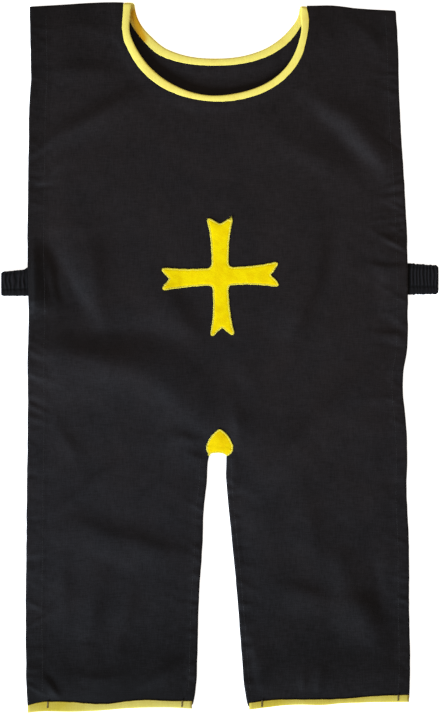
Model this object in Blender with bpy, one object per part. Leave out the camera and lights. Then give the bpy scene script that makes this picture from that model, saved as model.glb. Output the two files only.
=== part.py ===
"""A child's black tabard with yellow trim, laid flat with its front up.

Sizes are in millimetres and are turned to metres as each mesh is made. X runs across the garment to
the viewer's right, Y from the hem up to the shoulders, and Z up from the surface that the back panel
lies on. Left and right are the viewer's.
"""

import math
from collections import namedtuple

import bmesh
import bpy
from mathutils import Vector
from mathutils.geometry import delaunay_2d_cdt, intersect_point_line

MM = 0.001

# The cloth, and how its layers lie on each other
WALL = 1.0              # one wall of cloth
SEAM_GAP = 0.3          # between pieces that are sewn together
LAYER_GAP = 0.6         # between the front and the back, which only lie on each other
SEAM_STEP = WALL + SEAM_GAP
FLOOR_MIDDLE = WALL / 2  # the middle of the back's wall where it lies on the floor

# The bias binding folded over the neck and the hems
BINDING_WIDTH = 8.0     # what shows on each side of the edge
BINDING_INNER = WALL / 2 + SEAM_GAP
BINDING_OUTER = BINDING_INNER + WALL
BINDING_ROUND = 0.6     # rounding of its fold
BINDING_REACH = 8.6     # how far a panel stays level past its binding's fold
BINDING_LEVEL = BINDING_REACH - SEAM_STEP  # how much of the panel that is
RAMP = 16.0             # over which a panel comes down from its own bound edge
DRAPE_RAMP = 44.0       # over which the front comes down from the back's neck beneath it

# How fine the meshes are
EDGE_STEP = 22.0        # along a plain edge
HEM_STEP = 24.0         # along a bound hem
FRONT_GRID = 23.0       # inside the front panel, which carries the folds
BACK_GRID = 46.0        # inside the back panel, which lies flat
NECK_STEPS = 28         # round each half of the neck
ROLL_STEPS = 5          # where the neck binding rolls over the shoulder
CLEAR_OF_EDGE = 8.0     # between the grid's points and any edge
CLEAR_OF_KEPT = 9.0     # between a side's even points and those that it must have

# The neck, two half ovals that meet at the shoulders: the fold line of the binding
Neck = namedtuple("Neck", "x y half_width depth power")
FRONT_NECK = Neck(x=-5.0, y=404.0, half_width=103.8, depth=90.0, power=2.0)
BACK_NECK = Neck(x=-4.2, y=426.0, half_width=100.8, depth=68.4, power=2.2)
LEFT_ROLL_Y = 419.2     # the line that the binding rolls about, a little below the shoulder
RIGHT_ROLL_Y = 415.4

# The garment's two side edges, from the hem up
Side = namedtuple("Side", "y left right")
SIDES = [
    Side(-424.5, -230.4, 225.2),
    Side(-408.0, -232.2, 226.6),
    Side(-364.0, -232.9, 227.8),
    Side(-292.0, -233.0, 227.1),
    Side(-220.0, -232.5, 226.1),
    Side(-166.0, -231.9, 223.5),
    Side(-112.0, -231.3, 224.3),
    Side(-76.0, -230.8, 222.5),
    Side(-28.0, -229.9, 219.4),
    Side(8.0, -229.9, 224.1),
    Side(56.0, -228.7, 225.1),
    Side(122.0, -230.2, 224.6),
    Side(176.0, -230.8, 222.3),
    Side(248.0, -229.5, 218.6),
    Side(302.0, -228.7, 216.0),
    Side(338.0, -226.6, 214.5),
    Side(374.0, -226.9, 213.3),
    Side(424.0, -227.7, 210.3),
]

# The edges of the slit, from the hem up to its head
Slit = namedtuple("Slit", "y left right")
SLIT = [
    Slit(-424.5, -35.2, 35.0),
    Slit(-402.0, -30.3, 29.8),
    Slit(-364.0, -27.8, 26.6),
    Slit(-292.0, -25.7, 21.0),
    Slit(-220.0, -20.9, 14.6),
    Slit(-184.0, -20.1, 11.2),
    Slit(-150.0, -16.3, 7.7),
    Slit(-130.0, -15.7, 7.3),
    Slit(-118.5, -12.9, 8.2),
]
SLIT_HEAD_Y = -118.5

# The lower edge of each leg's binding, and the shoulder seams
Edge = namedtuple("Edge", "x y")
LEFT_HEM = [
    Edge(-230.4, -424.3),
    Edge(-166.5, -423.5),
    Edge(-137.7, -422.3),
    Edge(-108.9, -419.6),
    Edge(-70.5, -418.7),
    Edge(-35.2, -419.4),
]
RIGHT_HEM = [
    Edge(35.0, -421.3),
    Edge(57.9, -418.9),
    Edge(86.7, -416.8),
    Edge(134.7, -416.0),
    Edge(182.7, -413.6),
    Edge(225.3, -412.2),
]
SHOULDERS = [
    Edge(-227.7, 419.9),
    Edge(-186.9, 422.3),
    Edge(-143.7, 424.7),
    Edge(-117.0, 424.2),
    Edge(107.5, 420.2),
    Edge(134.7, 421.1),
    Edge(163.5, 417.9),
    Edge(210.3, 415.1),
]

# The shoulder seams press the front down on the back
SHOULDER_EASE = 20.0

# The largest folds of the front: each a ridge from one end, over its middle, to the other. The wall
# falls away over `left` on its left hand, walking from start to end, and over `right` on the other.
FOLD_ENDS = 0.12        # how far along its taper a fold starts, and stops before the end of it
FOLD_TAPER = 1.5        # above one, a fold sinks faster towards its ends
Fold = namedtuple("Fold", "name start middle end rise left right")
FOLDS = [
    Fold("from the neck to the left side", (-92, 322), (-142, 290), (-212, 258), 4.0, 17, 12),
    Fold("from the neck to the right side", (112, 324), (164, 284), (208, 226), 4.8, 18, 15),
    Fold("beside the left strap", (-176, 150), (-150, 88), (-126, 30), 6.0, 18, 30),
    Fold("left of the cross", (-73, 92), (-51, 53), (-24, 19), 3.5, 12, 22),
    Fold("from the left side to the slit head", (-229, 6), (-92, -12), (-14, -80), 9.4, 24, 42),
    Fold("across the left leg", (-190, -196), (-112, -221), (-30, -239), 4.6, 14, 24),
    Fold("right of the cross", (132, 146), (118, 86), (86, 24), 5.0, 13, 22),
    Fold("from the right side to the slit", (186, -8), (94, -102), (34, -172), 5.5, 22, 16),
    Fold("down the right leg", (146, -280), (172, -304), (190, -342), 4.8, 16, 22),
    Fold("across the right leg", (66, -276), (104, -284), (136, -288), 3.5, 12, 16),
]

# The elastic straps: each a flat loop between the panels, from its sewn end out to its fold
Strap = namedtuple("Strap", "side tip top_at_body top_at_tip bottom_at_body bottom_at_tip")
STRAPS = {
    "left": Strap(-1, -262.4, 106.8, 105.6, 73.2, 72.8),
    "right": Strap(1, 262.4, 112.0, 108.0, 76.0, 74.2),
}
STRAP_WALL = 1.2
STRAP_SEWN = 12.0       # how much of it lies between the panels
STRAP_CLEAR = 4.0       # around its sewn end, where the front stays lifted
STRAP_LIFT = 3.0        # of the front over the sewn end
STRAP_RAMP = 26.0       # over which it comes down again
STRAP_GUIDE_STEP = 24.0
GATHER = 4.2            # from one gather of the casing to the next
GATHER_DEPTH = 0.45
GATHER_START = 3.0      # past the body's edge, where the gathers reach their full depth
GATHER_LEAN = 0.9       # how far, as a turn of its wave, a gather wanders across the strap
GATHER_WANDER = 5.0
GATHER_POINTS = 6       # sections to each gather
DROP_TO_FLOOR = 7.0     # past the body's edge, where the loop's lower wall comes down
TIP_STEPS = 4
TIP_FLATTER = 4.0       # before its fold, where the gathers grow shallow
TIP_DEPTH = 0.1
TIP_ROUND = 2.4         # rounding of its outer corners
STRAP_COLUMNS = (0.0, 0.34, 0.67, 1.0)  # across its width
LOWER_OUTSIDE = STRAP_WALL / 2 + GATHER_DEPTH + 0.1

# The cross: four arms, each with its own slight lean, half widths at its root and tip, and notch
Arm = namedtuple("Arm", "turn length root tip notch")
ARMS = [
    Arm(2.0, 69.7, 10.3, 14.6, 9.4),
    Arm(90.4, 69.5, 9.7, 15.2, 7.2),
    Arm(182.8, 69.7, 9.9, 13.4, 9.2),
    Arm(272.1, 70.8, 8.9, 14.1, 10.0),
]
CROSS_X = 0.6
CROSS_Y = 96.5
ARM_FLARE = 2.4         # how late the arm widens
ARM_POINTS = 5
CROSS_CORNER = 5.0      # rounding where two arms meet
TIP_CORNER = 2.4        # rounding of the points beside the notch
CORNER_MIDDLE = 0.3     # how near a rounded corner's middle comes to its sharp point

# The patch at the slit's head: its half width, down from its point
Drop = namedtuple("Drop", "down half_width")
PATCH = [
    Drop(0.0, 0.0),
    Drop(2.4, 4.0),
    Drop(7.0, 8.8),
    Drop(13.0, 13.4),
    Drop(20.0, 16.2),
    Drop(26.0, 15.4),
    Drop(30.2, 12.4),
]
PATCH_X = -0.6
PATCH_TOP = -86.4

# Colours, as linear values
BLACK_CLOTH = (0.016, 0.0142, 0.0155)
BLACK_ELASTIC = (0.012, 0.0115, 0.013)
YELLOW_BINDING = (0.88, 0.74, 0.13)
YELLOW_HEM = (0.72, 0.60, 0.14)
YELLOW_CLOTH = (0.87, 0.66, 0.008)


def ease(t):
    """Zero to one, level at both ends."""
    t = min(max(t, 0.0), 1.0)
    return t * t * (3.0 - 2.0 * t)


def near(distance, reach, ramp):
    """One up to the reach, then easing to nothing over the ramp."""
    return 1.0 - ease((distance - reach) / ramp)


def read(rows, key, column, at):
    """A column's value at a place in another column, on a smooth line through the rows."""
    places = [getattr(row, key) for row in rows]
    values = [getattr(row, column) for row in rows]
    at = min(max(at, places[0]), places[-1])
    last = len(rows) - 1
    i = max(k for k in range(last) if places[k] <= at)

    def slope(k):
        before = max(k - 1, 0)
        after = min(k + 1, last)
        return (values[after] - values[before]) / (places[after] - places[before])

    span = places[i + 1] - places[i]
    t = (at - places[i]) / span
    start = values[i] + slope(i) * span * t
    end = values[i + 1] - slope(i + 1) * span * (1.0 - t)
    return start + (end - start) * ease(t)


def steps_between(start, end, step):
    """Places from start to end, no further apart than the step."""
    count = max(1, math.ceil(abs(end - start) / step))
    return [start + (end - start) * i / count for i in range(count + 1)]


# The neck's two half ovals

def neck_place(neck, turn, out):
    """A point at an angle round the neck, moved out from the fold line into the cloth."""
    across = math.cos(turn)
    down = -math.sin(turn)
    x = neck.half_width * math.copysign(abs(across) ** (2.0 / neck.power), across)
    y = -neck.depth * down ** (2.0 / neck.power)
    normal = Vector((
        math.copysign(abs(x / neck.half_width) ** (neck.power - 1.0), x) / neck.half_width,
        -abs(y / neck.depth) ** (neck.power - 1.0) / neck.depth,
    )).normalized()
    return Vector((neck.x + x, neck.y + y)) + normal * out


def neck_line(neck, out):
    """The neck's line from its left shoulder to its right one."""
    line = []
    left_turn = math.pi + roll_turn(neck, LEFT_ROLL_Y)
    right_turn = 2.0 * math.pi - roll_turn(neck, RIGHT_ROLL_Y)
    if LEFT_ROLL_Y > neck.y:
        line.append(Vector((neck.x - neck.half_width - out, LEFT_ROLL_Y)))
    for i in range(NECK_STEPS + 1):
        turn = left_turn + (right_turn - left_turn) * i / NECK_STEPS
        line.append(neck_place(neck, min(max(turn, math.pi), 2.0 * math.pi), out))
    if RIGHT_ROLL_Y > neck.y:
        line.append(Vector((neck.x + neck.half_width + out, RIGHT_ROLL_Y)))
    line[0].y = LEFT_ROLL_Y
    line[-1].y = RIGHT_ROLL_Y
    return line


def roll_turn(neck, roll_y):
    """How far round from the side the neck's line starts, if the roll lies below its centre."""
    below = max(0.0, (neck.y - roll_y) / neck.depth)
    return math.asin(below ** (neck.power / 2.0))


def neck_guides(neck):
    """Lines where the neck's binding ends, and where the panel has come down from it."""
    return [neck_line(neck, BINDING_REACH), neck_line(neck, BINDING_REACH + RAMP)[2:-2]]


def neck_distance(neck, x, y):
    """About how far a point lies outside the neck's fold line."""
    across = abs(x - neck.x)
    down = neck.y - y
    if down <= 0.0:
        return across - neck.half_width
    share = (across / neck.half_width) ** neck.power + (down / neck.depth) ** neck.power
    share = share ** (1.0 / neck.power)
    return math.hypot(across, down) * (1.0 - 1.0 / max(share, 0.01))


# How high each panel lies: the middle of its wall

def hem_y(x):
    """The lower edge of the binding at this place across the garment."""
    return read(LEFT_HEM if x < 0.0 else RIGHT_HEM, "x", "y", x)


def by_hem(x, y):
    return near(y - hem_y(x), BINDING_REACH, RAMP)


def by_neck(neck, x, y, ramp=RAMP):
    return near(neck_distance(neck, x, y), BINDING_REACH + 1.5, ramp)


def back_middle(x, y):
    """The back lies on the floor, and on its own binding at the neck and the hems."""
    return FLOOR_MIDDLE + SEAM_STEP * max(by_hem(x, y), by_neck(BACK_NECK, x, y))


def fold_rise(fold, x, y):
    """How far one fold lifts the front here."""
    here = Vector((x, y))
    best = None
    for part, (a, b) in enumerate(((fold.start, fold.middle), (fold.middle, fold.end))):
        a = Vector(a)
        b = Vector(b)
        foot, share = intersect_point_line(here, a, b)
        share = min(max(share, 0.0), 1.0)
        foot = a.lerp(b, share)
        distance = (here - foot.xy).length
        if best is None or distance < best[0]:
            turn = (b - a).cross(here - a)
            best = (distance, (part + share) / 2.0, turn)
    distance, along, turn = best
    width = fold.left if turn > 0.0 else fold.right
    taper = math.sin(math.pi * (FOLD_ENDS + (1.0 - 2.0 * FOLD_ENDS) * along)) ** FOLD_TAPER
    return fold.rise * taper * math.exp(-((distance / width) ** 2))


def over_straps(x, y):
    """One over the sewn ends of the straps, easing to nothing around them."""
    most = 0.0
    for strap in STRAPS.values():
        inward = abs(x - side_at(strap.side, y)) - STRAP_SEWN
        middle = (strap.top_at_body + strap.bottom_at_body) / 2.0
        half = (strap.top_at_body - strap.bottom_at_body) / 2.0
        beside = abs(y - middle) - half
        lifted = near(inward, STRAP_CLEAR, STRAP_RAMP) * near(beside, STRAP_CLEAR, STRAP_RAMP)
        most = max(most, lifted)
    return most


def front_middle(x, y):
    """The front lies on the back, its bindings and the straps' ends, and rises in its folds."""
    by_own_neck = by_neck(FRONT_NECK, x, y)
    from_shoulder = read(SHOULDERS, "x", "y", x) - y
    gap = SEAM_GAP + (LAYER_GAP - SEAM_GAP) * max(ease(from_shoulder / SHOULDER_EASE), by_own_neck)
    walls = 3.0 * by_hem(x, y) + 2.0 * by_neck(BACK_NECK, x, y, DRAPE_RAMP) + by_own_neck
    folds = sum(fold_rise(fold, x, y) for fold in FOLDS)
    lift = SEAM_STEP * walls + STRAP_LIFT * over_straps(x, y) + folds
    return FLOOR_MIDDLE + WALL + gap + lift


# The panels' outlines

def side_at(side, y):
    return read(SIDES, "y", "left" if side < 0 else "right", y)


def side_line(side, bottom, top):
    """Points up a side edge, with one where the binding ends, and one each side of the strap."""
    strap = STRAPS["left" if side < 0 else "right"]
    kept = [bottom, bottom + BINDING_LEVEL]
    kept += [strap.bottom_at_body - STRAP_CLEAR, strap.top_at_body + STRAP_CLEAR]
    ys = steps_between(bottom, top, EDGE_STEP)
    ys = [y for y in ys if min(abs(y - kept_y) for kept_y in kept) > CLEAR_OF_KEPT]
    return [Vector((side_at(side, y), y)) for y in sorted(ys + kept)]


def hem_line(rows, inset):
    """Points along a leg's hem from its left to its right, moved up into the cloth."""
    xs = steps_between(rows[0].x, rows[-1].x, HEM_STEP)
    return [Vector((x, read(rows, "x", "y", x) + inset)) for x in xs]


def slit_at(column, y):
    return read(SLIT, "y", column, y)


def hem_guide(rows):
    """A line across a leg where its binding ends, from edge point to edge point."""
    line = hem_line(rows, BINDING_REACH)
    left_y = line[0].y
    right_y = line[-1].y
    if rows is LEFT_HEM:
        ends = side_at(-1, left_y), slit_at("left", right_y)
    else:
        ends = slit_at("right", left_y), side_at(1, right_y)
    return [Vector((ends[0], left_y))] + line[1:-1] + [Vector((ends[1], right_y))]


def slit_line(column, bottom):
    """Points up one edge of the slit, with one where the binding ends."""
    ys = [bottom] + steps_between(bottom + BINDING_LEVEL, SLIT_HEAD_Y, EDGE_STEP)
    return [Vector((slit_at(column, y), y)) for y in ys]


def shoulder_line(start_x, end_x):
    xs = steps_between(start_x, end_x, EDGE_STEP)
    return [Vector((x, read(SHOULDERS, "x", "y", x))) for x in xs]


def patch_bottom():
    """The two points where the patch's sides reach the slit's head."""
    left = Vector((slit_at("left", SLIT_HEAD_Y), SLIT_HEAD_Y))
    right = Vector((slit_at("right", SLIT_HEAD_Y), SLIT_HEAD_Y))
    return left, right


def panel_outline(neck):
    """The panel's edge, round by way of hem, slit, side, shoulder and neck.

    It stops at the line of the roll where the neck binding turns over the shoulder."""
    left_hem = hem_line(LEFT_HEM, SEAM_STEP)
    right_hem = hem_line(RIGHT_HEM, SEAM_STEP)
    slit_up = slit_line("left", left_hem[-1].y)[1:]
    slit_down = slit_line("right", right_hem[0].y)[:0:-1]
    line = neck_line(neck, SEAM_STEP)
    reach = FRONT_NECK.half_width + BINDING_REACH
    left_corner = Vector((FRONT_NECK.x - reach, LEFT_ROLL_Y))
    right_corner = Vector((FRONT_NECK.x + reach, RIGHT_ROLL_Y))
    right_side = side_line(1, right_hem[-1].y, SHOULDERS[-1].y)[1:-1]
    left_side = side_line(-1, left_hem[0].y, SHOULDERS[0].y)[-2:0:-1]
    right_shoulder = shoulder_line(SHOULDERS[-1].x, right_corner.x)
    left_shoulder = shoulder_line(left_corner.x, SHOULDERS[0].x)
    outline = left_hem + slit_up + slit_down + right_hem + right_side + right_shoulder
    outline += [right_corner] + line[::-1] + [left_corner] + left_shoulder + left_side
    return outline


# Outlines of what lies on the front

def arm_outline(arm, after):
    """One arm of the cross, and the corner between it and the arm after it."""
    half = []
    start = after.root + CROSS_CORNER
    for i in range(ARM_POINTS + 1):
        share = i / ARM_POINTS
        along = start + (arm.length - TIP_CORNER - start) * share
        half.append((along, arm.root + (arm.tip - arm.root) * share ** ARM_FLARE))
    half.append((arm.length, arm.tip - TIP_CORNER / 2.0))
    half.append((arm.length - TIP_CORNER * CORNER_MIDDLE, arm.tip - TIP_CORNER * (2.0 - CORNER_MIDDLE)))
    notch = [(arm.length - arm.notch, 0.0)]
    rounding = CROSS_CORNER * CORNER_MIDDLE
    corner = [(after.root + rounding, arm.root + rounding)]
    points = [(a, -c) for a, c in half] + notch + [(a, c) for a, c in half[::-1]] + corner
    turn = math.radians(arm.turn)
    along = Vector((math.cos(turn), math.sin(turn)))
    across = Vector((-math.sin(turn), math.cos(turn)))
    return [Vector((CROSS_X, CROSS_Y)) + along * a + across * c for a, c in points]


def cross_outline():
    return [point for i, arm in enumerate(ARMS) for point in arm_outline(arm, ARMS[(i + 1) % 4])]


def patch_outline():
    """The drop from its point down both sides to the slit's head."""
    head_left, head_right = patch_bottom()
    left = [Vector((PATCH_X - row.half_width, PATCH_TOP - row.down)) for row in PATCH[1:]]
    right = [Vector((PATCH_X + row.half_width, PATCH_TOP - row.down)) for row in PATCH[:0:-1]]
    return [Vector((PATCH_X, PATCH_TOP))] + left + [head_left, head_right] + right


# Triangles from outlines

def edges_of(loop, first):
    count = len(loop)
    return [(first + i, first + (i + 1) % count) for i in range(count)]


def inside(loop, point):
    """Whether a point lies within a closed line."""
    crossings = 0
    for i, a in enumerate(loop):
        b = loop[(i + 1) % len(loop)]
        if (a.y > point.y) != (b.y > point.y):
            x = a.x + (b.x - a.x) * (point.y - a.y) / (b.y - a.y)
            if x > point.x:
                crossings += 1
    return crossings % 2 == 1


def line_distance(loop, point, closed):
    """How far a point lies from a line."""
    best = math.inf
    for i in range(len(loop) if closed else len(loop) - 1):
        a = loop[i]
        b = loop[(i + 1) % len(loop)]
        span = b - a
        share = min(max((point - a).dot(span) / span.length_squared, 0.0), 1.0)
        best = min(best, (point - a - span * share).length)
    return best


def grid_points(outline, step, lines):
    """A staggered grid inside the outline, clear of every line."""
    row_step = step * math.sqrt(3.0) / 2.0
    left = min(p.x for p in outline)
    right = max(p.x for p in outline)
    bottom = min(p.y for p in outline)
    rows = int((max(p.y for p in outline) - bottom) / row_step)
    points = []
    for row in range(rows + 1):
        x = left + (step / 2.0 if row % 2 else 0.0)
        while x < right:
            point = Vector((x, bottom + row * row_step))
            clear = min(line_distance(loop, point, closed) for loop, closed in lines)
            if clear > CLEAR_OF_EDGE and inside(outline, point):
                points.append(point)
            x += step
    return points


def triangulate(outline, step, on_top, guides):
    """Triangles over the outline, with the pieces on top and the guide lines as edges of their own.

    Returns the points, all the triangles, and the triangles under each piece on top."""
    loops = [outline] + on_top
    points = []
    edges = []
    faces = []
    for loop in loops:
        faces.append(list(range(len(points), len(points) + len(loop))))
        edges += edges_of(loop, len(points))
        points += loop
    for guide in guides:
        edges += [(len(points) + i, len(points) + i + 1) for i in range(len(guide) - 1)]
        points += guide
    lines = [(loop, True) for loop in loops] + [(guide, False) for guide in guides]
    points += grid_points(outline, step, lines)
    found = delaunay_2d_cdt(points, edges, faces, 0, 0.01)
    places, triangles, origins = found[0], found[2], found[5]
    held = [[tri for tri, origin in zip(triangles, origins) if i in origin] for i in range(len(loops))]
    return places, held[0], held[1:]


# Solids

def solid(name, points, faces, material):
    """A closed mesh of this name, its faces turned outwards."""
    mesh = bpy.data.meshes.new(name)
    mesh.from_pydata([Vector(p) * MM for p in points], [], faces)
    shape = bmesh.new()
    shape.from_mesh(mesh)
    bmesh.ops.triangulate(shape, faces=shape.faces, ngon_method="EAR_CLIP")
    bmesh.ops.recalc_face_normals(shape, faces=shape.faces)
    shape.to_mesh(mesh)
    shape.free()
    mesh.materials.append(material)
    thing = bpy.data.objects.new(name, mesh)
    bpy.context.scene.collection.objects.link(thing)
    return thing


def wall_over(places, triangles, height, base, thickness):
    """Points and faces of a wall over these triangles, its underside at the height plus the base."""
    used = sorted({i for tri in triangles for i in tri})
    new = {old: i for i, old in enumerate(used)}
    count = len(used)
    low = [(places[i].x, places[i].y, height(places[i].x, places[i].y) + base) for i in used]
    high = [(x, y, z + thickness) for x, y, z in low]
    top = [tuple(new[i] + count for i in tri) for tri in triangles]
    bottom = [tuple(new[i] for i in reversed(tri)) for tri in triangles]
    rim = {(tri[i], tri[(i + 1) % 3]) for tri in triangles for i in range(3)}
    sides = [
        (new[a], new[b], new[b] + count, new[a] + count)
        for a, b in sorted(rim)
        if (b, a) not in rim
    ]
    return low + high, top + bottom + sides


def binding_profile():
    """The binding's section: how far into the cloth from its fold, and how far from its middle."""
    upper = [
        (0.0, BINDING_OUTER - BINDING_ROUND),
        (BINDING_ROUND, BINDING_OUTER),
        (BINDING_WIDTH, BINDING_OUTER),
        (BINDING_WIDTH, BINDING_INNER),
        (WALL, BINDING_INNER),
    ]
    return upper + [(o, -n) for o, n in upper[::-1]]


def strip(rings, closed):
    """Faces that join one ring of points to the next, and cap the ends of an open strip."""
    size = len(rings[0])
    count = len(rings)
    points = [point for ring in rings for point in ring]
    faces = []
    for i in range(count if closed else count - 1):
        after = (i + 1) % count
        for k in range(size):
            then = (k + 1) % size
            faces.append((i * size + k, i * size + then, after * size + then, after * size + k))
    if not closed:
        faces.append(tuple(range(size)))
        faces.append(tuple((count - 1) * size + k for k in reversed(range(size))))
    return points, faces


def lying_rings(lines, height, profile, up):
    """Rings on a level edge, each point as high as the panel is there."""
    rings = []
    for i in range(len(lines[0])):
        ring = []
        for k, (_, n) in enumerate(profile):
            place = lines[k][i]
            ring.append((place.x, place.y, height(place.x, place.y) + up * n))
        rings.append(ring)
    return rings


def roll_rings(front_ring, back_ring, profile, roll_y):
    """Rings round the shoulder, from the front's level down to the back's."""
    rings = []
    for i in range(1, ROLL_STEPS):
        turn = math.pi * i / ROLL_STEPS
        ring = []
        for (front_x, _, front_z), (back_x, _, back_z), (_, n) in zip(front_ring, back_ring, profile):
            centre = (front_z + back_z) / 2.0
            reach = (front_z - back_z) / 2.0
            x = front_x + (back_x - front_x) * ease(i / ROLL_STEPS)
            ring.append((x, roll_y + reach * math.sin(turn), centre + reach * math.cos(turn)))
        rings.append(ring)
    return rings


# The pieces

def make_back_panel(material):
    guides = neck_guides(BACK_NECK) + [hem_guide(LEFT_HEM), hem_guide(RIGHT_HEM)]
    places, panel, _ = triangulate(panel_outline(BACK_NECK), BACK_GRID, [], guides)
    points, faces = wall_over(places, panel, back_middle, -WALL / 2, WALL)
    solid("back_panel", points, faces, material)


def strap_guide(strap):
    """A line round the sewn end of a strap, so that the front is lifted all over it."""
    low = strap.bottom_at_body - STRAP_CLEAR
    high = strap.top_at_body + STRAP_CLEAR
    inner = STRAP_SEWN + STRAP_CLEAR
    ys = steps_between(low, high, STRAP_GUIDE_STEP)
    return [Vector((side_at(strap.side, y) - strap.side * inner, y)) for y in ys]


def make_front(cloth, trim):
    """The front panel, and on it the cross and the patch."""
    guides = neck_guides(FRONT_NECK) + [hem_guide(LEFT_HEM), hem_guide(RIGHT_HEM)]
    guides += [strap_guide(strap) for strap in STRAPS.values()]
    on_top = [cross_outline(), patch_outline()]
    places, panel, held = triangulate(panel_outline(FRONT_NECK), FRONT_GRID, on_top, guides)
    points, faces = wall_over(places, panel, front_middle, -WALL / 2, WALL)
    solid("front_panel", points, faces, cloth)
    for name, triangles in zip(("chest_cross", "slit_patch"), held):
        points, faces = wall_over(places, triangles, front_middle, WALL / 2 + SEAM_GAP, WALL)
        solid(name, points, faces, trim)


def make_neck_binding(material):
    """One ring: along the front's neck, over the right shoulder, back along the back's neck."""
    profile = binding_profile()
    front = lying_rings([neck_line(FRONT_NECK, o) for o, _ in profile], front_middle, profile, 1.0)
    back = lying_rings([neck_line(BACK_NECK, o) for o, _ in profile], back_middle, profile, -1.0)
    rings = front + roll_rings(front[-1], back[-1], profile, RIGHT_ROLL_Y)
    rings += back[::-1] + roll_rings(front[0], back[0], profile, LEFT_ROLL_Y)[::-1]
    points, faces = strip(rings, closed=True)
    solid("neck_binding", points, faces, material)


def make_hem_binding(name, rows, height, material):
    profile = binding_profile()
    rings = lying_rings([hem_line(rows, o) for o, _ in profile], height, profile, 1.0)
    points, faces = strip(rings, closed=False)
    solid(name, points, faces, material)


def strap_path(strap):
    """Places along the strap's loop: how far out, how high, and how deep the gathers are."""
    edge = abs(side_at(strap.side, (strap.top_at_body + strap.bottom_at_body) / 2.0))
    lower_sewn = WALL + SEAM_GAP + STRAP_WALL / 2
    upper_sewn = lower_sewn + STRAP_WALL + SEAM_GAP
    upper_outside = LOWER_OUTSIDE + STRAP_WALL + 2.0 * GATHER_DEPTH + SEAM_GAP
    radius = (upper_outside - LOWER_OUTSIDE) / 2.0
    turn_at = abs(strap.tip) - radius - STRAP_WALL / 2
    sewn = steps_between(edge - STRAP_SEWN, edge, STRAP_SEWN / 2)
    free = steps_between(edge, turn_at, GATHER / GATHER_POINTS)[1:]
    lower = []
    upper = []
    for out in sewn + free:
        share = ease((out - edge) / DROP_TO_FLOOR)
        into_fold = ease((out - turn_at + TIP_FLATTER) / TIP_FLATTER)
        depth = GATHER_DEPTH + (TIP_DEPTH - GATHER_DEPTH) * into_fold
        depth *= ease((out - edge) / GATHER_START)
        lower.append((out, lower_sewn + (LOWER_OUTSIDE - lower_sewn) * share, depth))
        upper.append((out, upper_sewn + (upper_outside - upper_sewn) * share, depth))
    middle = (LOWER_OUTSIDE + upper_outside) / 2.0
    tip = []
    for i in range(1, TIP_STEPS):
        turn = math.pi * i / TIP_STEPS
        tip.append((turn_at + radius * math.sin(turn), middle - radius * math.cos(turn), TIP_DEPTH))
    return lower + tip + upper[::-1]


def make_strap(name, strap, material):
    """A gathered casing: a wall along the loop, waved across its run."""
    path = strap_path(strap)
    edge = abs(side_at(strap.side, (strap.top_at_body + strap.bottom_at_body) / 2.0))
    reach = abs(strap.tip) - edge
    rings = []
    run = 0.0
    for i, (out, height, depth) in enumerate(path):
        before = path[max(i - 1, 0)]
        after = path[min(i + 1, len(path) - 1)]
        along = Vector((after[0] - before[0], after[1] - before[1])).normalized()
        normal = Vector((along.y, -along.x))
        if i:
            run += math.hypot(out - before[0], height - before[1])
        share = min(max((out - edge) / reach, 0.0), 1.0)
        top = strap.top_at_body + (strap.top_at_tip - strap.top_at_body) * share
        bottom = strap.bottom_at_body + (strap.bottom_at_tip - strap.bottom_at_body) * share
        into_tip = max(0.0, 1.0 - (abs(strap.tip) - out) / TIP_ROUND)
        narrow = TIP_ROUND * (1.0 - math.sqrt(1.0 - into_tip * into_tip))
        outer = []
        inner = []
        for column in STRAP_COLUMNS:
            y = bottom + narrow + (top - bottom - 2.0 * narrow) * column
            lean = GATHER_LEAN * math.sin(GATHER_WANDER * column)
            wave = depth * math.sin(math.tau * run / GATHER + lean)
            for side, points in ((1.0, outer), (-1.0, inner)):
                off = wave + side * STRAP_WALL / 2
                points.append((strap.side * (out + normal.x * off), y, height + normal.y * off))
        rings.append(outer + inner[::-1])
    points, faces = strip(rings, closed=False)
    solid(name, points, faces, material)


def make_material(name, colour, roughness):
    material = bpy.data.materials.new(name)
    material.use_nodes = True
    shader = material.node_tree.nodes["Principled BSDF"]
    shader.inputs["Base Color"].default_value = (*colour, 1.0)
    shader.inputs["Roughness"].default_value = roughness
    shader.inputs["Metallic"].default_value = 0.0
    return material


def clear_scene():
    for thing in list(bpy.data.objects):
        bpy.data.objects.remove(thing, do_unlink=True)


def build():
    clear_scene()
    make_back_panel(make_material("black cloth, back", BLACK_CLOTH, 0.9))
    make_front(
        make_material("black cloth, front", BLACK_CLOTH, 0.9),
        make_material("yellow applique cloth", YELLOW_CLOTH, 0.7),
    )
    make_neck_binding(make_material("yellow neck binding", YELLOW_BINDING, 0.75))
    hem = make_material("yellow hem binding", YELLOW_HEM, 0.75)
    for layer, height in (("front", front_middle), ("back", back_middle)):
        for side, rows in (("left", LEFT_HEM), ("right", RIGHT_HEM)):
            make_hem_binding(f"hem_binding_{layer}_{side}", rows, height, hem)
    elastic = make_material("black gathered elastic", BLACK_ELASTIC, 0.85)
    for side, strap in STRAPS.items():
        make_strap(f"elastic_strap_{side}", strap, elastic)


build()
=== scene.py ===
"""The looks of a child's black tabard with yellow trim, laid flat with its front up.

Sizes are in millimetres and are turned to metres as each mesh is made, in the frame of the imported
part: X across to the viewer's right, Y up to the shoulders, Z up from the floor.
"""

import math
import random
from collections import namedtuple

import bmesh
import bpy
import numpy as np
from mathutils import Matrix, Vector, noise
from mathutils.geometry import delaunay_2d_cdt


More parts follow.
